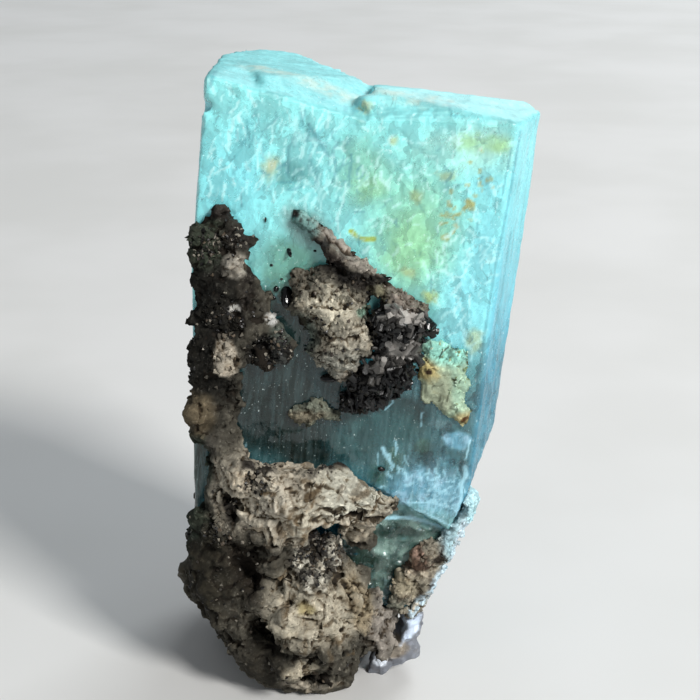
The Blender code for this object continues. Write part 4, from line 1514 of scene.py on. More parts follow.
    def paint(self, piece: bpy.types.Object) -> None:
        """Stores the beryl's colour, milkiness and etching for its finish.

        Args:
            piece: the mesh object.
        """
        points, normals = points_of(piece), normals_of(piece)
        zone = self.zones(points, normals)
        clearer = (1.0 - zone.upper) * (1.0 - 0.8 * zone.recess) * (1.0 - 0.75 * zone.window)
        upright = 1.0 - ramp(np.abs(normals[:, 2]), 0.2, 0.5)
        store(piece, "pigment", self.colours(points, zone))
        store(piece, "milk", self.milkiness(piece, points, zone))
        store(piece, "etching", zone.front * zone.upper)
        store(piece, "dull", ramp(normals[:, 2], 0.12, 0.4) * (points[:, 2] > self.top))
        store(piece, "frost", np.clip(zone.shards + 0.35 * zone.recess, 0.0, 1.0))
        store(piece, "fibre", upright * np.maximum(1.0 - zone.front, clearer))

    def build(self) -> None:
        """Builds and dresses the prism."""
        piece = join([copy_of("aquamarine_crystal", "aquamarine"), self.STEP_FILL.build()], "aquamarine")
        self.wear(piece)
        even_out(piece, self.voxel)
        refine(piece, (normals_of(piece)[:, 1] < -0.6) & (points_of(piece)[:, 1] < 4.0))
        self.mark_faces(piece)
        carved = self.SIDE_LINES + self.ETCHING + self.FRACTURES + self.RECESS
        for relief in carved + self.END_FACE + self.ARRISES:
            relief.carve(piece)
        front, upper = self.etched(points_of(piece), normals_of(piece))
        for fracture in self.STEPS:
            fracture.carve(piece, front * upper)
        self.paint(piece)
        hand_over(piece, self.finish, Slot.AQUAMARINE, "aquamarine_crystal")


# ------------------------------------------------------------------ the rock


@dataclass(frozen=True)
class Rock:
    """A mass of feldspar: its CAD node, added lumps, broken faces, coats of colour and grains."""

    node: str
    name: str
    slot: Slot
    finish: RockFinish
    base: Triple
    reliefs: tuple[Relief, ...]
    fractures: tuple[Fracture, ...]
    voxel: float = 0.24
    swell: float = 0.18
    puff: float = 0.05
    coats: tuple[Coat, ...] = ()
    lumps: tuple[Lump, ...] = ()
    pits: tuple[tuple[Blot, float], ...] = ()
    shifts: tuple[tuple[Blot, float, float], ...] = ()
    calm: tuple[Blot, ...] = ()
    gritty: tuple[Blot, ...] = ()
    speckled: tuple[Blot, ...] = ()
    grains: tuple[tuple[Scatter, GrainFinish | None], ...] = ()
    rubble: Scatter | None = None
    # The surface is rebuilt this many times coarser, and the faces that show are then cut into four.
    coarse: float = 1.5
    # Speckled and hidden places carry these shares of the grains.
    sparse: float = 0.04
    hidden: float = 0.25

    def shape(self) -> bpy.types.Object:
        """Returns the mass with its lumps, swollen onto its neighbours and broken up."""
        piece = join([copy_of(self.node, self.name)] + [lump.build() for lump in self.lumps], self.name)
        even_out(piece, self.voxel * self.coarse)
        refine(piece, (normals_of(piece)[:, 1] < 0.35) & (points_of(piece)[:, 1] < SEEN_DEPTH))
        free = ramp(height_of(piece), 0.15, 0.8)
        inward = ramp(normals_of(piece)[:, 1], -0.1, 0.3)
        lift(piece, free * (self.puff + (self.swell - self.puff) * inward))
        points = points_of(piece)
        for blot, right, up in self.shifts:
            for way, amount in (("X", right), ("Z", up)):
                if amount:
                    shove(piece, free * blot.cover(points), amount, way)
        weigh(piece, "free", free)
        for relief in self.reliefs:
            relief.carve(piece)
        for blot, depth in self.pits:
            lift(piece, -depth * free * blot.cover(points))
        calm = 1.0 - 0.75 * covered(points, self.calm)
        for fracture in self.fractures:
            fracture.carve(piece, free * calm if max(fracture.size) < 2.0 else free)
        return piece

    def paint(self, piece: bpy.types.Object) -> None:
        """Stores the rock's colour, and its hollows and crests, where the finish paints shade and highlights.

        Args:
            piece: the mesh object.
        """
        deep, fine = hollows(piece, 60), hollows(piece, 8)
        store(piece, "pigment", painted(points_of(piece), self.base, self.coats))
        # The hollow depth drives painted shade, and the crests drive painted highlights.
        store(piece, "hollow", np.clip(ramp(deep, 0.08, 0.75) * 0.8 + ramp(fine, 0.02, 0.14) * 0.5, 0.0, 1.0))
        store(piece, "crest", ramp(-fine, 0.015, 0.10))

    def build(self) -> None:
        """Builds and dresses the mass and strews its grains."""
        piece = self.shape()
        self.paint(piece)
        points = points_of(piece)
        gritty, speckled = covered(points, self.gritty), covered(points, self.speckled)
        shown = np.where((normals_of(piece)[:, 1] < 0.5) & (points[:, 1] < SEEN_DEPTH), 1.0, self.hidden)
        shown *= ramp(height_of(piece), 0.4, 1.2)
        toned = replace(self.finish, name=f"{self.finish.name}_grains", toned=True)
        for scatter, finish in self.grains:
            strewn = np.maximum(gritty, self.sparse * speckled) if finish else gritty
            hand_over(scatter.strew(piece, shown * strewn), finish or toned, self.slot)
        if self.rubble:
            patchy = shown * (0.3 + 0.7 * gritty) * (1.0 - covered(points, self.calm))
            patchy = patchy * ramp(haze(points, 2.6, 29), 0.25, 0.6)
            hand_over(self.rubble.strew(piece, patchy), toned, self.slot)
        hand_over(piece, self.finish, self.slot, self.node)


DARK_GRAINS = GrainFinish("dark_grains", tint(20, 18, 18), tint(96, 84, 70), 0.35, 0.75)
MICA_GRAINS = GrainFinish("mica_grains", tint(26, 24, 22), tint(136, 130, 118), 0.5, 0.62)

GRANULAR = tuple(
    Blot(centre, half, edge=0.5, wander=0.8)
    for centre, half in (
        ((0, -4, 10.2), (3.2, 5, 2.4)), ((1.6, -4, 12.6), (1.4, 3, 1.2)),
        ((-7.6, -4, 19.6), (2.2, 4, 1.2)), ((-0.6, -3.4, 21.6), (1.6, 4, 0.7)),
        ((-11.6, -3, 12.4), (1.8, 4, 1.6)), ((-13.2, -3, 37.8), (2.6, 4, 1.8)),
        ((-12, -3, 47.4), (2.4, 3, 1.2)), ((-7.8, -3, 33.8), (2.4, 4, 2.8)),
        ((-15.4, -3, 46), (2, 4, 2)),
    )
)
SPECKLED = (
    Blot((-14, -3, 40), (5, 5, 11)), Blot((-12, -3, 6), (6, 6, 8)), Blot((2, -5, -5), (6, 6, 2.4)),
    Blot((-8.6, -5, 12), (2, 5, 5)),
)
MATRIX = Rock(
    node="feldspar_matrix",
    name="feldspar",
    slot=Slot.FELDSPAR,
    finish=RockFinish("feldspar_rock", 0.7, 0.30),
    base=tint(68, 65, 57),
    voxel=0.30,
    shifts=(
        (Blot((-14.8, 0, 52.4), (2.6, 6, 2.6), edge=0.9, wander=0), 0, -0.8),
        (Blot((9.8, 0, -2.4), (2.4, 9, 4.6), edge=0.9, wander=0), -1.4, 0),
        (Blot((3.6, 0, 20.8), (7, 12, 2.6), 14, edge=0.9, wander=0), 0, -0.9),
        (Blot((8.2, 0, 19.4), (2.4, 12, 1.7), edge=0.9, wander=0), 0, -1.3),
        (Blot((-9, 0, 48), (1.6, 6, 1.6), edge=0.9, wander=0), 0, 0.3),
    ),
    rubble=Scatter("feldspar_rubble", Grain.CHIP, 1.1, 0.25, 0.75, 211, sink=0.2),
    reliefs=(
        Relief(Pattern.SOFT, (4.6, 4.6, 4), 1.1, "free", 2),
        Relief(Pattern.HARD, (3.4, 3.4, 2.2), 0.6, "free", 2, 0.3),
    ),
    fractures=(
        Fracture((3.4, 3.4, 2.6), 0.9, 11, lean=1.6, groove=0.10),
        Fracture((5.2, 5.2, 0.9), 0.6, 17, (Blot((4.6, -3, 17.6), (5.4, 7, 3)),), 16),
        Fracture((1.3, 3, 4.2), 0.7, 23, (Blot((-4, -5, 15.6), (3, 6, 4)),), -16),
        Fracture((0.8, 1.4, 4.4), 0.8, 31, (Blot((4.6, -3, 6.4), (1.9, 6, 3.6), 35, edge=0.6),), -32),
        Fracture((0.9, 1.4, 3.8), 0.6, 37, (Blot((-11.4, -2, 15.6), (2.6, 6, 5)),), -20),
        Fracture((1.3, 1.5, 4.6), 0.5, 41, (Blot((-14.4, -2, 40), (4, 5, 9)),), -14),
        Fracture((1.5, 1.5, 1.2), 0.30, 53, lean=1.8, groove=0.05),
        Fracture((0.7, 0.7, 0.6), 0.16, 61, lean=1.8),
        Fracture((0.8, 0.8, 0.8), 0.36, 67, GRANULAR, lean=1.8),
    ),
    pits=(
        (Blot((0.7, -6, 13.7), (2.2, 4, 1.4), wander=0.6), 2),
        (Blot((3.4, -6, 16.3), (2, 4, 0.5), 6, wander=0.6), 0.9),
        (Blot((-8.3, -2, 33.2), (1.9, 3, 2.1)), 1.4),
        (Blot((-8.6, -6, 8.6), (1.2, 5, 3.4), 24, wander=0.6), 1.1),
        (Blot((-10.4, -3, 15.6), (0.9, 4, 2), 16, wander=0.6), 1.2),
        (Blot((1.2, -5, -5.2), (2.4, 5, 0.6), wander=0.6), 0.9),
    ),
    calm=(
        Blot((-3.9, -5, 15.8), (3, 6, 2.4), 20, wander=1),
        Blot((4.4, -5, 19.4), (5, 8, 1.5), 14, wander=0.8), Blot((-1, -7, 2.4), (2, 4, 1.6), wander=1),
        Blot((-16.2, -2, 17), (2.2, 6, 7)), Blot((-12, -3, 5), (4, 6, 6)),
        Blot((-4.8, -5, -4.6), (3, 5, 3.4)), Blot((-15, -2, 25.4), (2, 3, 2.4)),
    ),
    lumps=(
        Lump((-13.8, -1.2, 48.6), (0.7, 0.7, 0.8)), Lump((-12.4, -1.9, 44.3), (1.25, 1.1, 1.35)),
        Lump((-17, -1, 47.4), (0.9, 1.2, 0.8)), Lump((-16.2, -1.8, 44.6), (1, 1, 1.6), 10),
        Lump((-14.4, -2, 41), (1.3, 1.1, 2.6), 14), Lump((-12.3, -1.4, 39.2), (0.6, 0.8, 0.5)),
        Lump((-13, -2.9, 34.4), (1.4, 1.1, 1.3)), Lump((-12.4, -2.9, 32.6), (1.2, 1.1, 1.5)),
        Lump((-15.6, -1.3, 31.6), (1, 1.2, 2)), Lump((-15.6, -2, 25.8), (1.2, 1.4, 1.4)),
        Lump((-9.8, -5, 20), (1.4, 1.2, 1.2)), Lump((-6.2, -5.4, 20.4), (1.9, 1.5, 1), -10),
        Lump((-1.4, -6.6, 18.8), (2.2, 1.1, 1), 6), Lump((-3.6, -6.6, 16.4), (2.8, 1.5, 2.9), 12),
        Lump((-4.6, -6.8, 12.8), (1.1, 1.1, 1.6), 10), Lump((0.8, -6, 17), (2.2, 1, 0.7), 12),
        Lump((4.6, -4.2, 16.6), (2.4, 0.8, 0.5), 16), Lump((-9.8, -5.6, 19.2), (1.1, 1, 1.3), 10),
        Lump((0.4, -7.2, 5.6), (1.7, 1.2, 1.4)), Lump((2.2, -7.4, 3.6), (1.6, 1.1, 1.2), 10),
        Lump((-2.2, -8.3, 4.2), (1.4, 1, 1.1)), Lump((-3.6, -7.8, 2.2), (1.3, 1.1, 1.2)),
        Lump((0.6, -8.2, 2), (1.5, 1, 1)), Lump((3.9, -7.2, 0.4), (1.3, 1, 1.4), 25),
        Lump((2.6, -8, -0.2), (1.2, 0.9, 0.8)), Lump((-0.5, -5.4, -6.6), (1.5, 0.9, 0.7)),
        Lump((2.4, -5.4, -6.3), (1.2, 0.9, 0.9)), Lump((-1.2, -6.6, -3.8), (1.6, 1.1, 0.9), 12),
    ),
    gritty=GRANULAR,
    speckled=SPECKLED,
    coats=(
        (Blot((-3, 22, 12), (16, 9, 18), edge=0.6), (104, 99, 88)),
        # This coat and the next five, on the left mass and ridge, are darker than the rock's own colour:
        # painted shade, as for light from the right.
        (Blot((-13, 0, 7), (4.5, 9, 9)), (38, 35, 27)),
        (Blot((-14.5, 0, 38), (4.6, 6, 14), edge=0.6), (24, 23, 19)),
        (Blot((-16, 0, 46.4), (2.4, 5, 3), edge=0.6), (50, 56, 46)),
        (Blot((-14.8, -1, 50.4), (1.8, 3, 1.4), edge=0.6), (46, 42, 38)),
        (Blot((-12, -1, 47.6), (2.6, 3, 1.6), 25, wander=0.9), (42, 39, 35)),
        (Blot((-11.2, 0, 42), (1.2, 3, 4), wander=0.8), (35, 31, 27)),
        (Blot((-2.6, -4, 18.4), (12.5, 9, 5.2), 3, edge=0.6), (160, 153, 138)),
        (Blot((3.4, -4, 18.8), (5, 9, 3)), (178, 176, 162)),
        (Blot((-6, -4, 18), (3, 9, 2.8)), (174, 167, 152)),
        (Blot((-1.6, -4, 16.4), (2.4, 9, 3)), (172, 166, 150)),
        (Blot((0.4, -4, 4), (6.4, 9, 5), edge=0.6), (166, 159, 142)),
        (Blot((-3, -4, -3.8), (7, 9, 3.2)), (58, 55, 48)),
        (Blot((-0.8, -5, -3.4), (2.2, 5, 1.2), 8, edge=0.5), (164, 156, 138)),
        (Blot((1, -5, -6.8), (3.6, 5, 0.8), edge=0.6), (141, 134, 120)),
        # Dark in the groove's pit: painted shade.
        (Blot((0.8, -5, -5.3), (2.4, 5, 0.6), edge=0.6), (30, 26, 22)),
        (Blot((-5.4, -3, -3.6), (2.6, 6, 3.2)), (44, 41, 34)),
        (Blot((5.6, -3, 4.6), (1.6, 5, 4.2), 30, edge=0.6), (134, 123, 102)),
        (Blot((-12.6, -2, 33.3), (1.5, 4, 2.7), 6, edge=0.3, wander=0.4), (158, 150, 136)),
        (Blot((-12.4, -2.4, 44.3), (1.4, 3, 1.5), edge=0.4, wander=0.4), (141, 136, 126)),
        (Blot((-12.3, -2, 39.1), (0.7, 3, 0.5), edge=0.4, wander=0.4), (171, 170, 165)),
        (Blot((-7.9, -2, 38.1), (0.8, 3, 0.6), edge=0.4, wander=0.4), (178, 178, 174)),
        # Near black in the crater's pit: painted shade.
        (Blot((-7.8, -1, 33.8), (2.8, 3, 3), edge=0.5, wander=0.6), (15, 15, 13)),
        (Blot((-6.4, -1, 33.4), (0.5, 3, 1.8), 14, wander=1), (62, 64, 62)),
        (Blot((-6.8, -1, 36.6), (1.3, 3, 1.2), wander=0.8), (66, 72, 66)),
        # Dark green-grey on the left edge by the prism's foot: painted shade.
        (Blot((-15.6, 0, 17), (2.7, 9, 8.4), edge=0.5, wander=0.8), (40, 46, 37)),
        (Blot((9.4, 2, 2), (2.6, 9, 6), edge=0.6, wander=0.8), (132, 126, 118)),
        (Blot((-15.5, -1, 26), (2.4, 5, 2.6), edge=0.5), (85, 76, 60)),
        (Blot((-13, -1, 22.4), (1.6, 3, 2), 35, edge=0.5), (73, 70, 63)),
        (Blot((-9.9, -4, 19.6), (1.7, 3, 1.6), edge=0.4), (170, 160, 142)),
        (Blot((-7.6, -4, 21.6), (2.2, 4, 0.8), edge=0.6, wander=0.9), (49, 45, 41)),
        (Blot((0, -4, 10.2), (3.2, 6, 2.4), edge=0.7, wander=0.8), (50, 47, 43)),
        (Scratches((0.2, 10.4), (2.8, 2.4), 46, (0.2, 0.7), 30, 80, 0.26, 91), (194, 190, 176)),
        (Scratches((-7.6, 19.6), (2.2, 1.2), 20, (0.2, 0.6), 30, 80, 0.22, 93), (60, 54, 48)),
        (Stroke(((-1.6, 21.5), (0.8, 21.6), (2.8, 21.2)), 0.6, 9), (38, 34, 30)),
        # Dark in the pit: painted shade.
        (Blot((-10.6, -3, 15.2), (1, 4, 2.4), 16), (24, 21, 17)),
        # Dark in the cave's pit: painted shade.
        (Blot((0.5, -4, 13.4), (2.1, 5, 1.7), edge=0.6, wander=0.8), (24, 20, 18)),
        (Blot((4.4, -3, 13.4), (1.7, 5, 1.7), edge=0.6, wander=0.8), (160, 151, 134)),
        # Dark line under the tongue's edge, over its pit: painted shadow.
        (Blot((3.2, -5, 16.3), (2, 4, 0.6), 8, edge=0.6), (58, 44, 32)),
        # Brown streaks between the lumps, here and in the next two coats: painted shade.
        (Scratches((0, 17), (8, 3.6), 34, (0.5, 2), 76, 24, 0.26, 61), (98, 84, 64)),
        (Scratches((-3.6, 15), (2.4, 3.4), 20, (0.5, 2), 10, 24, 0.26, 63), (104, 90, 70)),
        (Scratches((0.4, 3.4), (4.6, 4.4), 34, (0.4, 1.6), 20, 60, 0.24, 67), (92, 80, 62)),
        # Dark in the pit: painted shade.
        (Blot((-8.4, -5, 8), (2, 5, 3.6), 20), (34, 29, 22)),
        (Blot((-0.6, -8, 5.2), (1.1, 3, 0.8)), (170, 158, 120)),
    ),
    grains=(
        (Scatter("feldspar_chips", Grain.CHIP, 1.6, 0.25, 0.8, 11, sink=0.08), None),
        (Scatter("feldspar_dark_grains", Grain.CRUMB, 1.5, 0.3, 0.8, 23), DARK_GRAINS),
        (Scatter("feldspar_mica", Grain.PLATE, 0.5, 0.25, 0.6, 37, tilt=0.9), MICA_GRAINS),
        (Scatter("feldspar_speckle", Grain.CHIP, 3.4, 0.18, 0.46, 43, sink=0.1), MICA_GRAINS),
    ),
)

FRONT_CRUST = Rock(
    node="front_crust",
    name="front_crust_rock",
    slot=Slot.CRUST,
    finish=RockFinish("crust_rock", 0.6, 0.40),
    base=tint(92, 88, 78),
    swell=0.22,
    puff=-0.25,
    shifts=(
        (Blot((6.4, 0, 44), (5, 6, 2.6), -32, edge=0.9, wander=0), -0.5, -1),
        (Blot((-5.4, 0, 50.2), (2, 6, 2), edge=0.9, wander=0), -0.5, -0.2),
    ),
    calm=(
        Blot((-1.4, 0, 47.6), (2.4, 4, 1.3), -38, wander=0.6), Blot((-5.2, 0, 49.4), (2.6, 4, 2.2)),
        Blot((-1, 0, 40), (3.8, 5, 2.2), -16, wander=1),
    ),
    rubble=Scatter("crust_rubble", Grain.CHIP, 0.9, 0.25, 0.65, 223, sink=0.18),
    reliefs=(Relief(Pattern.SOFT, (3.4, 3.4, 3), 0.7, "free", 2),),
    fractures=(
        Fracture((2.4, 2.4, 2), 0.7, 111, lean=1.6, groove=0.10),
        Fracture((1.2, 1.2, 1), 0.36, 123, lean=1.8, groove=0.05),
        Fracture((0.6, 0.6, 0.55), 0.2, 137, lean=1.8),
    ),
    coats=(
        (Blot((-1.2, 0, 40.4), (3.8, 5, 2.6), -16, edge=0.7), (188, 182, 164)),
        (Blot((1.6, 0, 37.2), (2.6, 5, 2)), (176, 170, 154)),
        (Blot((-4.6, 0, 36.2), (2.2, 5, 2.6), edge=0.9), (96, 106, 98)),
        (Blot((0.6, 0, 33.8), (3, 5, 2)), (144, 143, 133)),
        (Blot((2.4, 0, 32), (2, 5, 1.2)), (138, 130, 118)),
        (Blot((-5.4, 0, 49.4), (3, 3, 2), 40, edge=0.5), (112, 148, 144)),
        (Blot((-6.6, 0, 50.4), (0.7, 3, 0.5), edge=0.5), (40, 40, 38)),
        (Blot((-3.4, 0, 47.4), (0.9, 3, 0.5)), (36, 34, 31)),
        (Blot((0.2, 0, 46.8), (4.8, 3, 1.3), -38, edge=0.6), (148, 141, 132)),
        # The rib's dark lower side, and the dark band and blots under the crust's upper band below: painted
        # shade.
        (Blot((-1.9, 0, 46.4), (3.2, 3, 0.9), -38, wander=0.9), (52, 46, 42)),
        (Stroke(((-2.4, 45.4), (0.4, 44.5), (3, 44.2), (4.8, 43.6)), 0.46, 9), (22, 20, 18)),
        (Stroke(((2.8, 41.5), (4.8, 41)), 0.45, 9), (26, 24, 20)),
        (Scratches((-4.6, 48.8), (1.6, 1.4), 12, (0.2, 0.8), 50, 40, 0.18, 73), (44, 44, 42)),
        (Blot((0.4, 0, 43.8), (4, 4, 1), -16, wander=0.9), (24, 22, 20)),
        (Blot((3, 0, 43), (2.2, 4, 0.6), -10, edge=0.6, wander=0.8), (38, 34, 30)),
        (Blot((4, 0, 42.4), (1.5, 3, 0.9), -30), (108, 105, 86)),
        (Blot((2, 0, 40.2), (0.9, 3, 1), edge=0.4), (112, 140, 124)),
        (Blot((6.8, 0, 41.6), (2.4, 4, 1.2), -40, edge=0.6), (120, 112, 104)),
        (Blot((5.8, 0, 38.6), (2.4, 4, 3), wander=0.9), (40, 38, 38)),
    ),
    gritty=(
        Blot((0, 0, 40), (6, 5, 5)), Blot((5.8, 0, 39.8), (4, 5, 4)), Blot((0, 0, 34), (4, 5, 3.4)),
    ),
    grains=(
        (Scatter("crust_chips", Grain.CHIP, 0.9, 0.2, 0.5, 41, sink=0.08), None),
        (Scatter("crust_dark_grains", Grain.CRUMB, 0.35, 0.3, 0.8, 53), DARK_GRAINS),
    ),
)

MIDDLE_PATCH = Rock(
    node="middle_patch",
    name="middle_patch_rock",
    slot=Slot.CRUST,
    finish=RockFinish("middle_rock", 0.55, 0.40),
    shifts=((Blot((-2.2, 0, 27.6), (7, 9, 6), edge=0.5, wander=0), 0.3, -0.9),),
    coats=((Blot((-3.6, 0, 26.2), (2.6, 4, 0.9), 14, wander=0.8), (114, 108, 92)),),
    puff=-0.2,
    base=tint(102, 106, 94),
    rubble=Scatter("middle_rubble", Grain.CHIP, 0.8, 0.2, 0.55, 227, sink=0.14),
    reliefs=(Relief(Pattern.SOFT, (2, 2, 1.6), 0.5, "free", 2),),
    fractures=(Fracture((1.3, 1.3, 1.1), 0.5, 151), Fracture((0.6, 0.6, 0.5), 0.26, 163)),
    gritty=(Blot((-2.2, 0, 27.6), (4, 4, 3)),),
    grains=((Scatter("middle_chips", Grain.CHIP, 1.4, 0.18, 0.42, 71), None),),
)

STAINED_PATCH = Rock(
    node="stained_patch",
    name="stained_patch_rock",
    slot=Slot.STAIN,
    finish=RockFinish("stained_rock", 0.8, 0.22, tint(92, 84, 48), rough=0.6, speckle=0.25),
    rubble=Scatter("stained_rubble", Grain.CHIP, 0.4, 0.2, 0.45, 229, sink=0.14),
    base=tint(160, 182, 156),
    puff=-0.2,
    reliefs=(Relief(Pattern.SOFT, (2.4, 2.4, 2.2), 0.3, "free", 2),),
    fractures=(
        Fracture((1.8, 1.8, 1.6), 0.3, 171),
        Fracture((0.9, 0.9, 0.8), 0.18, 183),
        Fracture((0.5, 0.5, 0.5), 0.10, 187),
    ),
    calm=(Blot((11.7, 0, 30.6), (2, 3, 2.6)),),
    coats=(
        (Blot((11.7, 0, 30.6), (2.4, 4, 3)), (170, 180, 154)),
        (Blot((10.2, 0, 33.6), (1.6, 4, 1.3), edge=0.9, wander=0.9), (184, 170, 118)),
        (Blot((14.6, 0, 32.4), (1.2, 4, 3), edge=0.9), (164, 196, 172)),
        (Blot((12.6, 0, 36), (3.2, 4, 1.6)), (158, 224, 208)),
        (Blot((15.4, 0, 27.9), (1.2, 4, 1)), (184, 174, 128)),
        (Blot((15.5, 0, 27.8), (0.4, 4, 0.6), -40, edge=0.5), (84, 56, 28)),
        (Blot((10.6, 0, 33.4), (0.5, 4, 0.4), edge=0.4), (48, 34, 22)),
        (Blot((9.3, 0, 32.4), (0.35, 4, 0.3), edge=0.4), (48, 34, 22)),
        (Scratches((12.4, 35.4), (2.8, 1.6), 14, (0.6, 1.8), 60, 50, 0.14, 41), (44, 52, 38)),
        (Scratches((12.6, 32), (1.8, 2.2), 5, (0.3, 0.8), 20, 30, 0.12, 43), (60, 62, 42)),
    ),
    gritty=(Blot((13, 0, 35.4), (3.2, 4, 2)), Blot((14.8, 0, 32), (1.2, 4, 3.4))),
    grains=(
        (
            Scatter("stained_chips", Grain.CHIP, 0.8, 0.16, 0.4, 83, sink=0.05),
            GrainFinish("stained_grains", tint(140, 160, 118), tint(196, 222, 198), 0.5, 0.4),
        ),
    ),
)

EDGE_CRUST = Rock(
    node="right_edge_crust",
    name="edge_crust_rock",
    slot=Slot.EDGE,
    finish=RockFinish("edge_rock", 0.5, 0.30, tint(64, 60, 56)),
    base=tint(134, 128, 114),
    rubble=Scatter("edge_rubble", Grain.CHIP, 0.9, 0.22, 0.6, 233, sink=0.14),
    swell=0.3,
    puff=0.1,
    reliefs=(Relief(Pattern.SOFT, (2, 2, 1.6), 0.5, "free", 2),),
    fractures=(
        Fracture((1.6, 1.6, 1.2), 0.5, 191, groove=0.05),
        Fracture((0.8, 0.8, 0.7), 0.24, 197),
        Fracture((0.45, 0.45, 0.45), 0.10, 199),
    ),
    coats=(
        (Blot((15, 8, 8), (9, 6.4, 14), edge=0.3), (178, 198, 206)),
        (Blot((17.2, 0, 14), (2.4, 9, 4.4), edge=0.7), (172, 196, 202)),
        (Blot((16.6, 0, 12.4), (1.8, 5, 3)), (160, 190, 198)),
        (Stroke(((17.8, 14.4), (16.7, 8.9), (14.4, 4.7), (12.6, 1.6)), 0.75, 9), (186, 206, 216)),
        (Blot((18.6, 3, 16.2), (1.7, 9, 2.6), edge=0.5), (176, 214, 222)),
        (Blot((12.4, 0, 8.6), (2, 2.2, 1.3), 10, wander=1), (92, 74, 62)),
        (Scratches((12.8, 6.8), (2.6, 3.6), 34, (0.4, 1.3), 40, 50, 0.26, 81), (54, 41, 33)),
        (Scratches((11.8, 5.6), (2.8, 3.8), 26, (0.3, 1), 40, 50, 0.26, 83), (184, 173, 154)),
        (Blot((12.2, 0, 9.9), (0.9, 2.2, 0.7), edge=0.6, wander=1), (172, 144, 128)),
        (Blot((15, 0, 9.4), (1.2, 2.2, 0.6), 10, wander=1), (46, 40, 34)),
        (Blot((11, 0, 5.4), (1.4, 2.2, 2), 50, wander=1), (150, 142, 122)),
        (Blot((10, 0, 2.6), (1.6, 2.2, 1.4), 50, wander=1), (96, 98, 88)),
    ),
    gritty=(Blot((14, 1, 8), (6, 5, 9)),),
)

BLADE = Rock(
    node="pale_blade",
    name="pale_blade_rock",
    slot=Slot.PALE,
    finish=RockFinish("blade_rock", 1.2, 0.12, tint(120, 118, 116), rough=0.35, relief=0.05, speckle=0.15),
    base=tint(122, 126, 134),
    swell=0.2,
    reliefs=(Relief(Pattern.SOFT, (2.4, 2.4, 1.8), 0.25, "free", 2),),
    fractures=(Fracture((2.4, 2.4, 1.6), 0.34, 207), Fracture((0.9, 0.9, 0.7), 0.14, 209)),
    coats=(
        (Blot((10.9, -1, -3.8), (1.8, 4, 1.3), 18, edge=0.5), (146, 138, 126)),
        (Blot((12.4, -1, -0.1), (1.5, 4, 2.8), -12, edge=0.3), (214, 230, 250)),
        (Blot((9.8, -1, -1.8), (2.4, 4, 1.1), 10, edge=0.6), (84, 82, 84)),
        # White tip: painted highlight, brighter than the blade's own colour.
        (Blot((9.3, -1, -5.6), (0.9, 4, 0.8), edge=0.5), (236, 244, 255)),
    ),
)


# ------------------------------------------------------------------ tourmaline and small things


@dataclass(frozen=True)
class Tourmaline:
    """The black heap: a broken base, sunk a little, with a coat of short ribbed prisms and broken bits."""

    voxel: float = 0.3
    sunk: float = 0.3
    finish: TourmalineFinish = TourmalineFinish()
    coat: Scatter = Scatter(
        "tourmaline_prisms", Grain.NEEDLE, 2.6, 0.8, 2.4, 131, sink=0.2, stretch=(1.5, 1.5, 0.75)
    )
    shards: Scatter = Scatter("tourmaline_shards", Grain.CHIP, 1.6, 0.4, 1.3, 139, sink=0.1)
    # Feldspar shows between the prisms here.
    FELDSPAR = (
        Blot((7.2, -1, 36.2), (1.5, 3, 1.5), wander=0.9), Blot((7.4, -1, 40.6), (1.9, 3, 1.2), wander=0.9),
        Blot((4.6, -1, 40.8), (1.6, 3, 1), wander=0.9), Blot((4.4, -1, 34.6), (1, 3, 1.6), wander=0.9),
    )

    def build(self) -> None:
        """Builds and dresses the heap and its coat."""
        piece = copy_of("black_tourmaline", "tourmaline_heap")
        even_out(piece, self.voxel)
        weigh(piece, "free", np.ones(len(piece.data.vertices)))
        modify(piece, "DISPLACE", strength=-self.sunk * MM, mid_level=0.0)
        Relief(Pattern.LUMPS, (1.1, 1.1, 1.1), 0.6, "free", level=0.4).carve(piece)
        Relief(Pattern.HARD, (0.7, 0.7, 0.7), 0.35, "free", 3).carve(piece)
        points = points_of(piece)
        open_rock = covered(points, self.FELDSPAR) * ramp(haze(points, 1.1, 77), 0.36, 0.5)
        store(piece, "pale", open_rock)
        for scatter in (self.coat, self.shards):
            hand_over(scatter.strew(piece, 1.0 - 0.9 * open_rock), self.finish, Slot.TOURMALINE)
        hand_over(piece, self.finish, Slot.TOURMALINE, "black_tourmaline")


@dataclass(frozen=True)
class Inclusions:
    """Loose black crystals that sit in the prism's front face."""

    finish: TourmalineFinish = TourmalineFinish("loose_schorl")
    # Edges sharper than this angle stay sharp.
    crease: float = 0.6
    LENSES = (
        Lump((-6.5, -0.3, 40.8), (0.68, 0.5, 1.7), 8), Lump((-6.7, 0, 45.9), (0.3, 0.3, 1), -14),
        Lump((-0.6, -0.5, 31.4), (1.15, 0.6, 0.32), -8), Lump((-7.7, 0, 41.3), (0.35, 0.3, 0.4)),
        Lump((-7.9, 0, 40.2), (0.3, 0.3, 0.3)), Lump((-8.5, 0, 44), (0.22, 0.2, 0.2)),
        Lump((-7.2, 0, 42.5), (0.2, 0.2, 0.16)), Lump((-3.8, 0, 46.2), (0.2, 0.2, 0.14)),
        Lump((4.6, -0.5, 43.9), (0.6, 0.3, 0.16), -18), Lump((-9.6, 0, 49.2), (0.16, 0.2, 0.34)),
        Lump((10.2, -0.1, 34.4), (0.55, 0.4, 0.22), -12), Lump((9.4, -0.1, 33.2), (0.3, 0.3, 0.24)),
        Lump((12.4, -0.2, 33.2), (0.16, 0.3, 0.55)), Lump((15.4, -0.2, 28.5), (0.22, 0.3, 0.5), 25),
        Lump((6.6, -0.2, 20.4), (0.5, 0.3, 0.2), 15), Lump((-7.8, -0.6, 33), (0.5, 0.6, 1.2), -20),
    )

    def build(self) -> None:
        """Builds and dresses the loose crystals as one piece."""
        piece = join([lens.build(3) for lens in self.LENSES], "loose_tourmaline")
        Relief(Pattern.HARD, (0.5, 0.5, 0.8), 0.12).carve(piece)
        bpy.ops.object.shade_smooth_by_angle(angle=self.crease)
        hand_over(piece, self.finish, Slot.TOURMALINE)


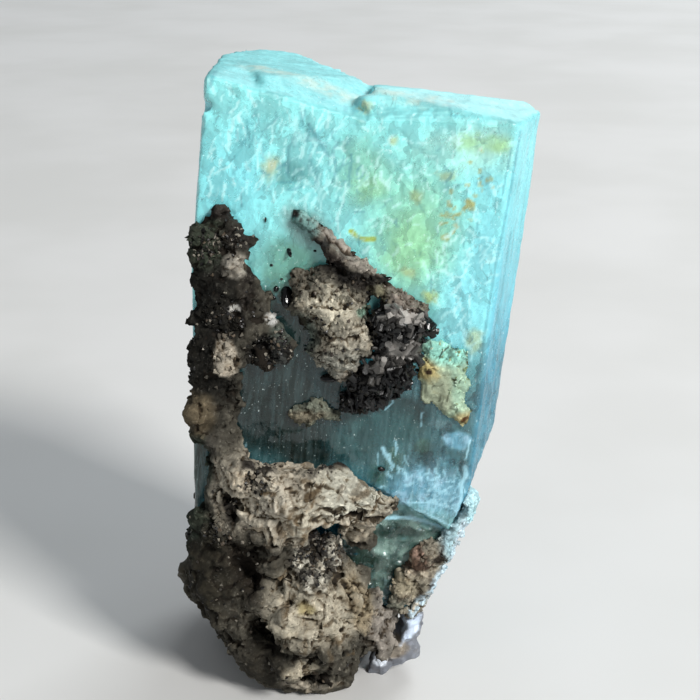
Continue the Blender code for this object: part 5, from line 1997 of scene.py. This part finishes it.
@dataclass(frozen=True)
class Veil:
    """A healed fracture inside the prism: centre, half sizes and turns about x, y and z in degrees."""

    centre: Triple
    half: tuple[float, float]
    turns: Triple
    thickness: float = 0.05
    cuts: int = 22
    # The border lies about this far out, in half sizes, and wanders by up to half of the second number.
    reach: float = 0.92
    wander: float = 1.1

    def build(self, seed: int) -> bpy.types.Object:
        """Returns the veil as a thin wavy sheet with a jagged border, in its place in the crystal.

        Args:
            seed: which border and waves are drawn.

        Returns:
            The new mesh object.
        """
        bpy.ops.object.select_all(action="DESELECT")
        bpy.ops.mesh.primitive_grid_add(x_subdivisions=self.cuts, y_subdivisions=self.cuts, size=2.0)
        sheet = bpy.context.active_object
        flat = read(sheet.data.vertices, "co")
        ragged = np.hypot(flat[:, 0], flat[:, 1]) + self.wander * (haze(flat, 0.5, seed) - 0.5) > self.reach
        turned = Euler([math.radians(turn) for turn in self.turns])
        place = Matrix.LocRotScale(Vector(self.centre), turned, Vector((*self.half, 1.0)))
        sheet.data.transform(CRYSTAL_FRAME @ place)
        choose(sheet, "VERT", ragged)
        bpy.ops.mesh.delete(type="VERT")
        bpy.ops.object.mode_set(mode="OBJECT")
        Relief(Pattern.SOFT, (1.6, 1.6, 1.6), 0.7, depth=3).carve(sheet)
        modify(sheet, "SOLIDIFY", thickness=self.thickness * MM, offset=0.0)
        return sheet


@dataclass(frozen=True)
class Veils:
    """The fractures inside the prism."""

    finish: VeilFinish = VeilFinish()
    SHEETS = (
        Veil((9.8, 2.2, 20.6), (2.6, 2), (70, 30, 10)),
        Veil((12.6, 2.6, 18.6), (2.8, 2.2), (100, -20, -15)),
        Veil((14.4, 3.4, 22.4), (2.2, 2.4), (80, 10, 35)), Veil((7.4, 3, 17.8), (2.4, 1.8), (60, 0, -20)),
        Veil((11.4, 4.8, 24.4), (3, 2.2), (95, 40, 20)), Veil((4, 4, 24), (2.4, 2.8), (85, -10, -30)),
        Veil((-3, 5.5, 27), (2, 3), (90, 5, 60)), Veil((-7, 5, 33), (2.4, 3.4), (88, -15, 40)),
        Veil((9, 4, 6.8), (3, 2.2), (75, 20, 15)), Veil((12, 5, 9.4), (2.4, 2), (100, -15, -25)),
        Veil((-9, 3, 52), (3, 4), (85, 12, 25)), Veil((-2, 4, 55), (3.2, 3.6), (95, -25, -20)),
        Veil((6, 5, 52), (4, 4.4), (80, 30, 10)), Veil((12, 4, 46), (3.2, 5), (92, -8, 35)),
        Veil((-13, 5, 46), (2.6, 5), (88, 6, -50)), Veil((2, 6, 41), (3.6, 3.6), (70, 15, 5)),
        Veil((13.4, 5, 34), (2.2, 4.4), (90, 4, 30)),
    )

    def build(self) -> None:
        """Builds and dresses the fractures as one piece."""
        piece = join([veil.build(index) for index, veil in enumerate(self.SHEETS)], "inner_fractures")
        hand_over(piece, self.finish, Slot.AQUAMARINE)


# ------------------------------------------------------------------ the studio


@dataclass(frozen=True)
class Lamp:
    """One square soft light: place and side in metres, power in watts and linear colour."""

    name: str
    place: Triple
    side: float
    power: float
    colour: Triple


@dataclass(frozen=True)
class Studio:
    """A pale floor, soft lights and the camera, all at fixed places in metres."""

    eye: Triple = (-0.00014, -0.17028, 0.10193)
    target: Triple = (-0.00014, -0.00865, 0.0431)
    lens: float = 77.0
    sensor: float = 36.0
    nearest: float = 0.005
    floor_side: float = 6.0
    sky: tuple[float, float, float, float] = (0.9, 0.95, 1.0, 1.0)
    sky_strength: float = 0.25
    lamps: tuple[Lamp, ...] = (
        Lamp("key", (0.95, -1.00, 1.00), 0.40, 30.0, (1.0, 0.98, 0.95)),
        Lamp("back", (0.55, 1.20, 1.00), 0.80, 11.0, (0.94, 0.98, 1.0)),
        Lamp("fill", (-1.20, -0.80, 0.60), 0.90, 1.0, (0.95, 0.98, 1.0)),
    )

    def floor(self) -> None:
        """Builds the pale floor."""
        bpy.ops.object.select_all(action="DESELECT")
        bpy.ops.mesh.primitive_grid_add(x_subdivisions=8, y_subdivisions=8, size=self.floor_side)
        floor = bpy.context.active_object
        floor.name = "studio_floor"
        floor.data.materials.append(FloorFinish().material())

    def aim(self, name: str, data: bpy.types.ID, place: Triple) -> bpy.types.Object:
        """Puts a light or a camera at a place, facing the specimen.

        Args:
            name: the object's name.
            data: the light or camera.
            place: where it stands, in metres.

        Returns:
            The new object.
        """
        item = new_object(name, data)
        item.location = place
        item.rotation_euler = (Vector(self.target) - Vector(place)).to_track_quat("-Z", "Y").to_euler()
        return item

    def build(self) -> None:
        """Sets up the floor, lights, sky and camera."""
        self.floor()
        for lamp in self.lamps:
            light = bpy.data.lights.new(lamp.name, "AREA")
            light.energy, light.size, light.color = lamp.power, lamp.side, lamp.colour
            self.aim(lamp.name, light, lamp.place)
        world = bpy.data.worlds.new("studio_sky")
        world.use_nodes = True
        background = world.node_tree.nodes["Background"]
        background.inputs["Color"].default_value = self.sky
        background.inputs["Strength"].default_value = self.sky_strength
        bpy.context.scene.world = world
        camera = bpy.data.cameras.new("camera")
        camera.lens, camera.sensor_width, camera.clip_start = self.lens, self.sensor, self.nearest
        bpy.context.scene.camera = self.aim("camera", camera, self.eye)
        bpy.context.scene.view_settings.view_transform = "Standard"


def main() -> None:
    """Builds the specimen piece by piece."""
    Aquamarine().build()
    Veils().build()
    for rock in (MATRIX, FRONT_CRUST, MIDDLE_PATCH, STAINED_PATCH, EDGE_CRUST, BLADE):
        rock.build()
    Tourmaline().build()
    Inclusions().build()
    Studio().build()


if __name__ == "__main__":
    main()
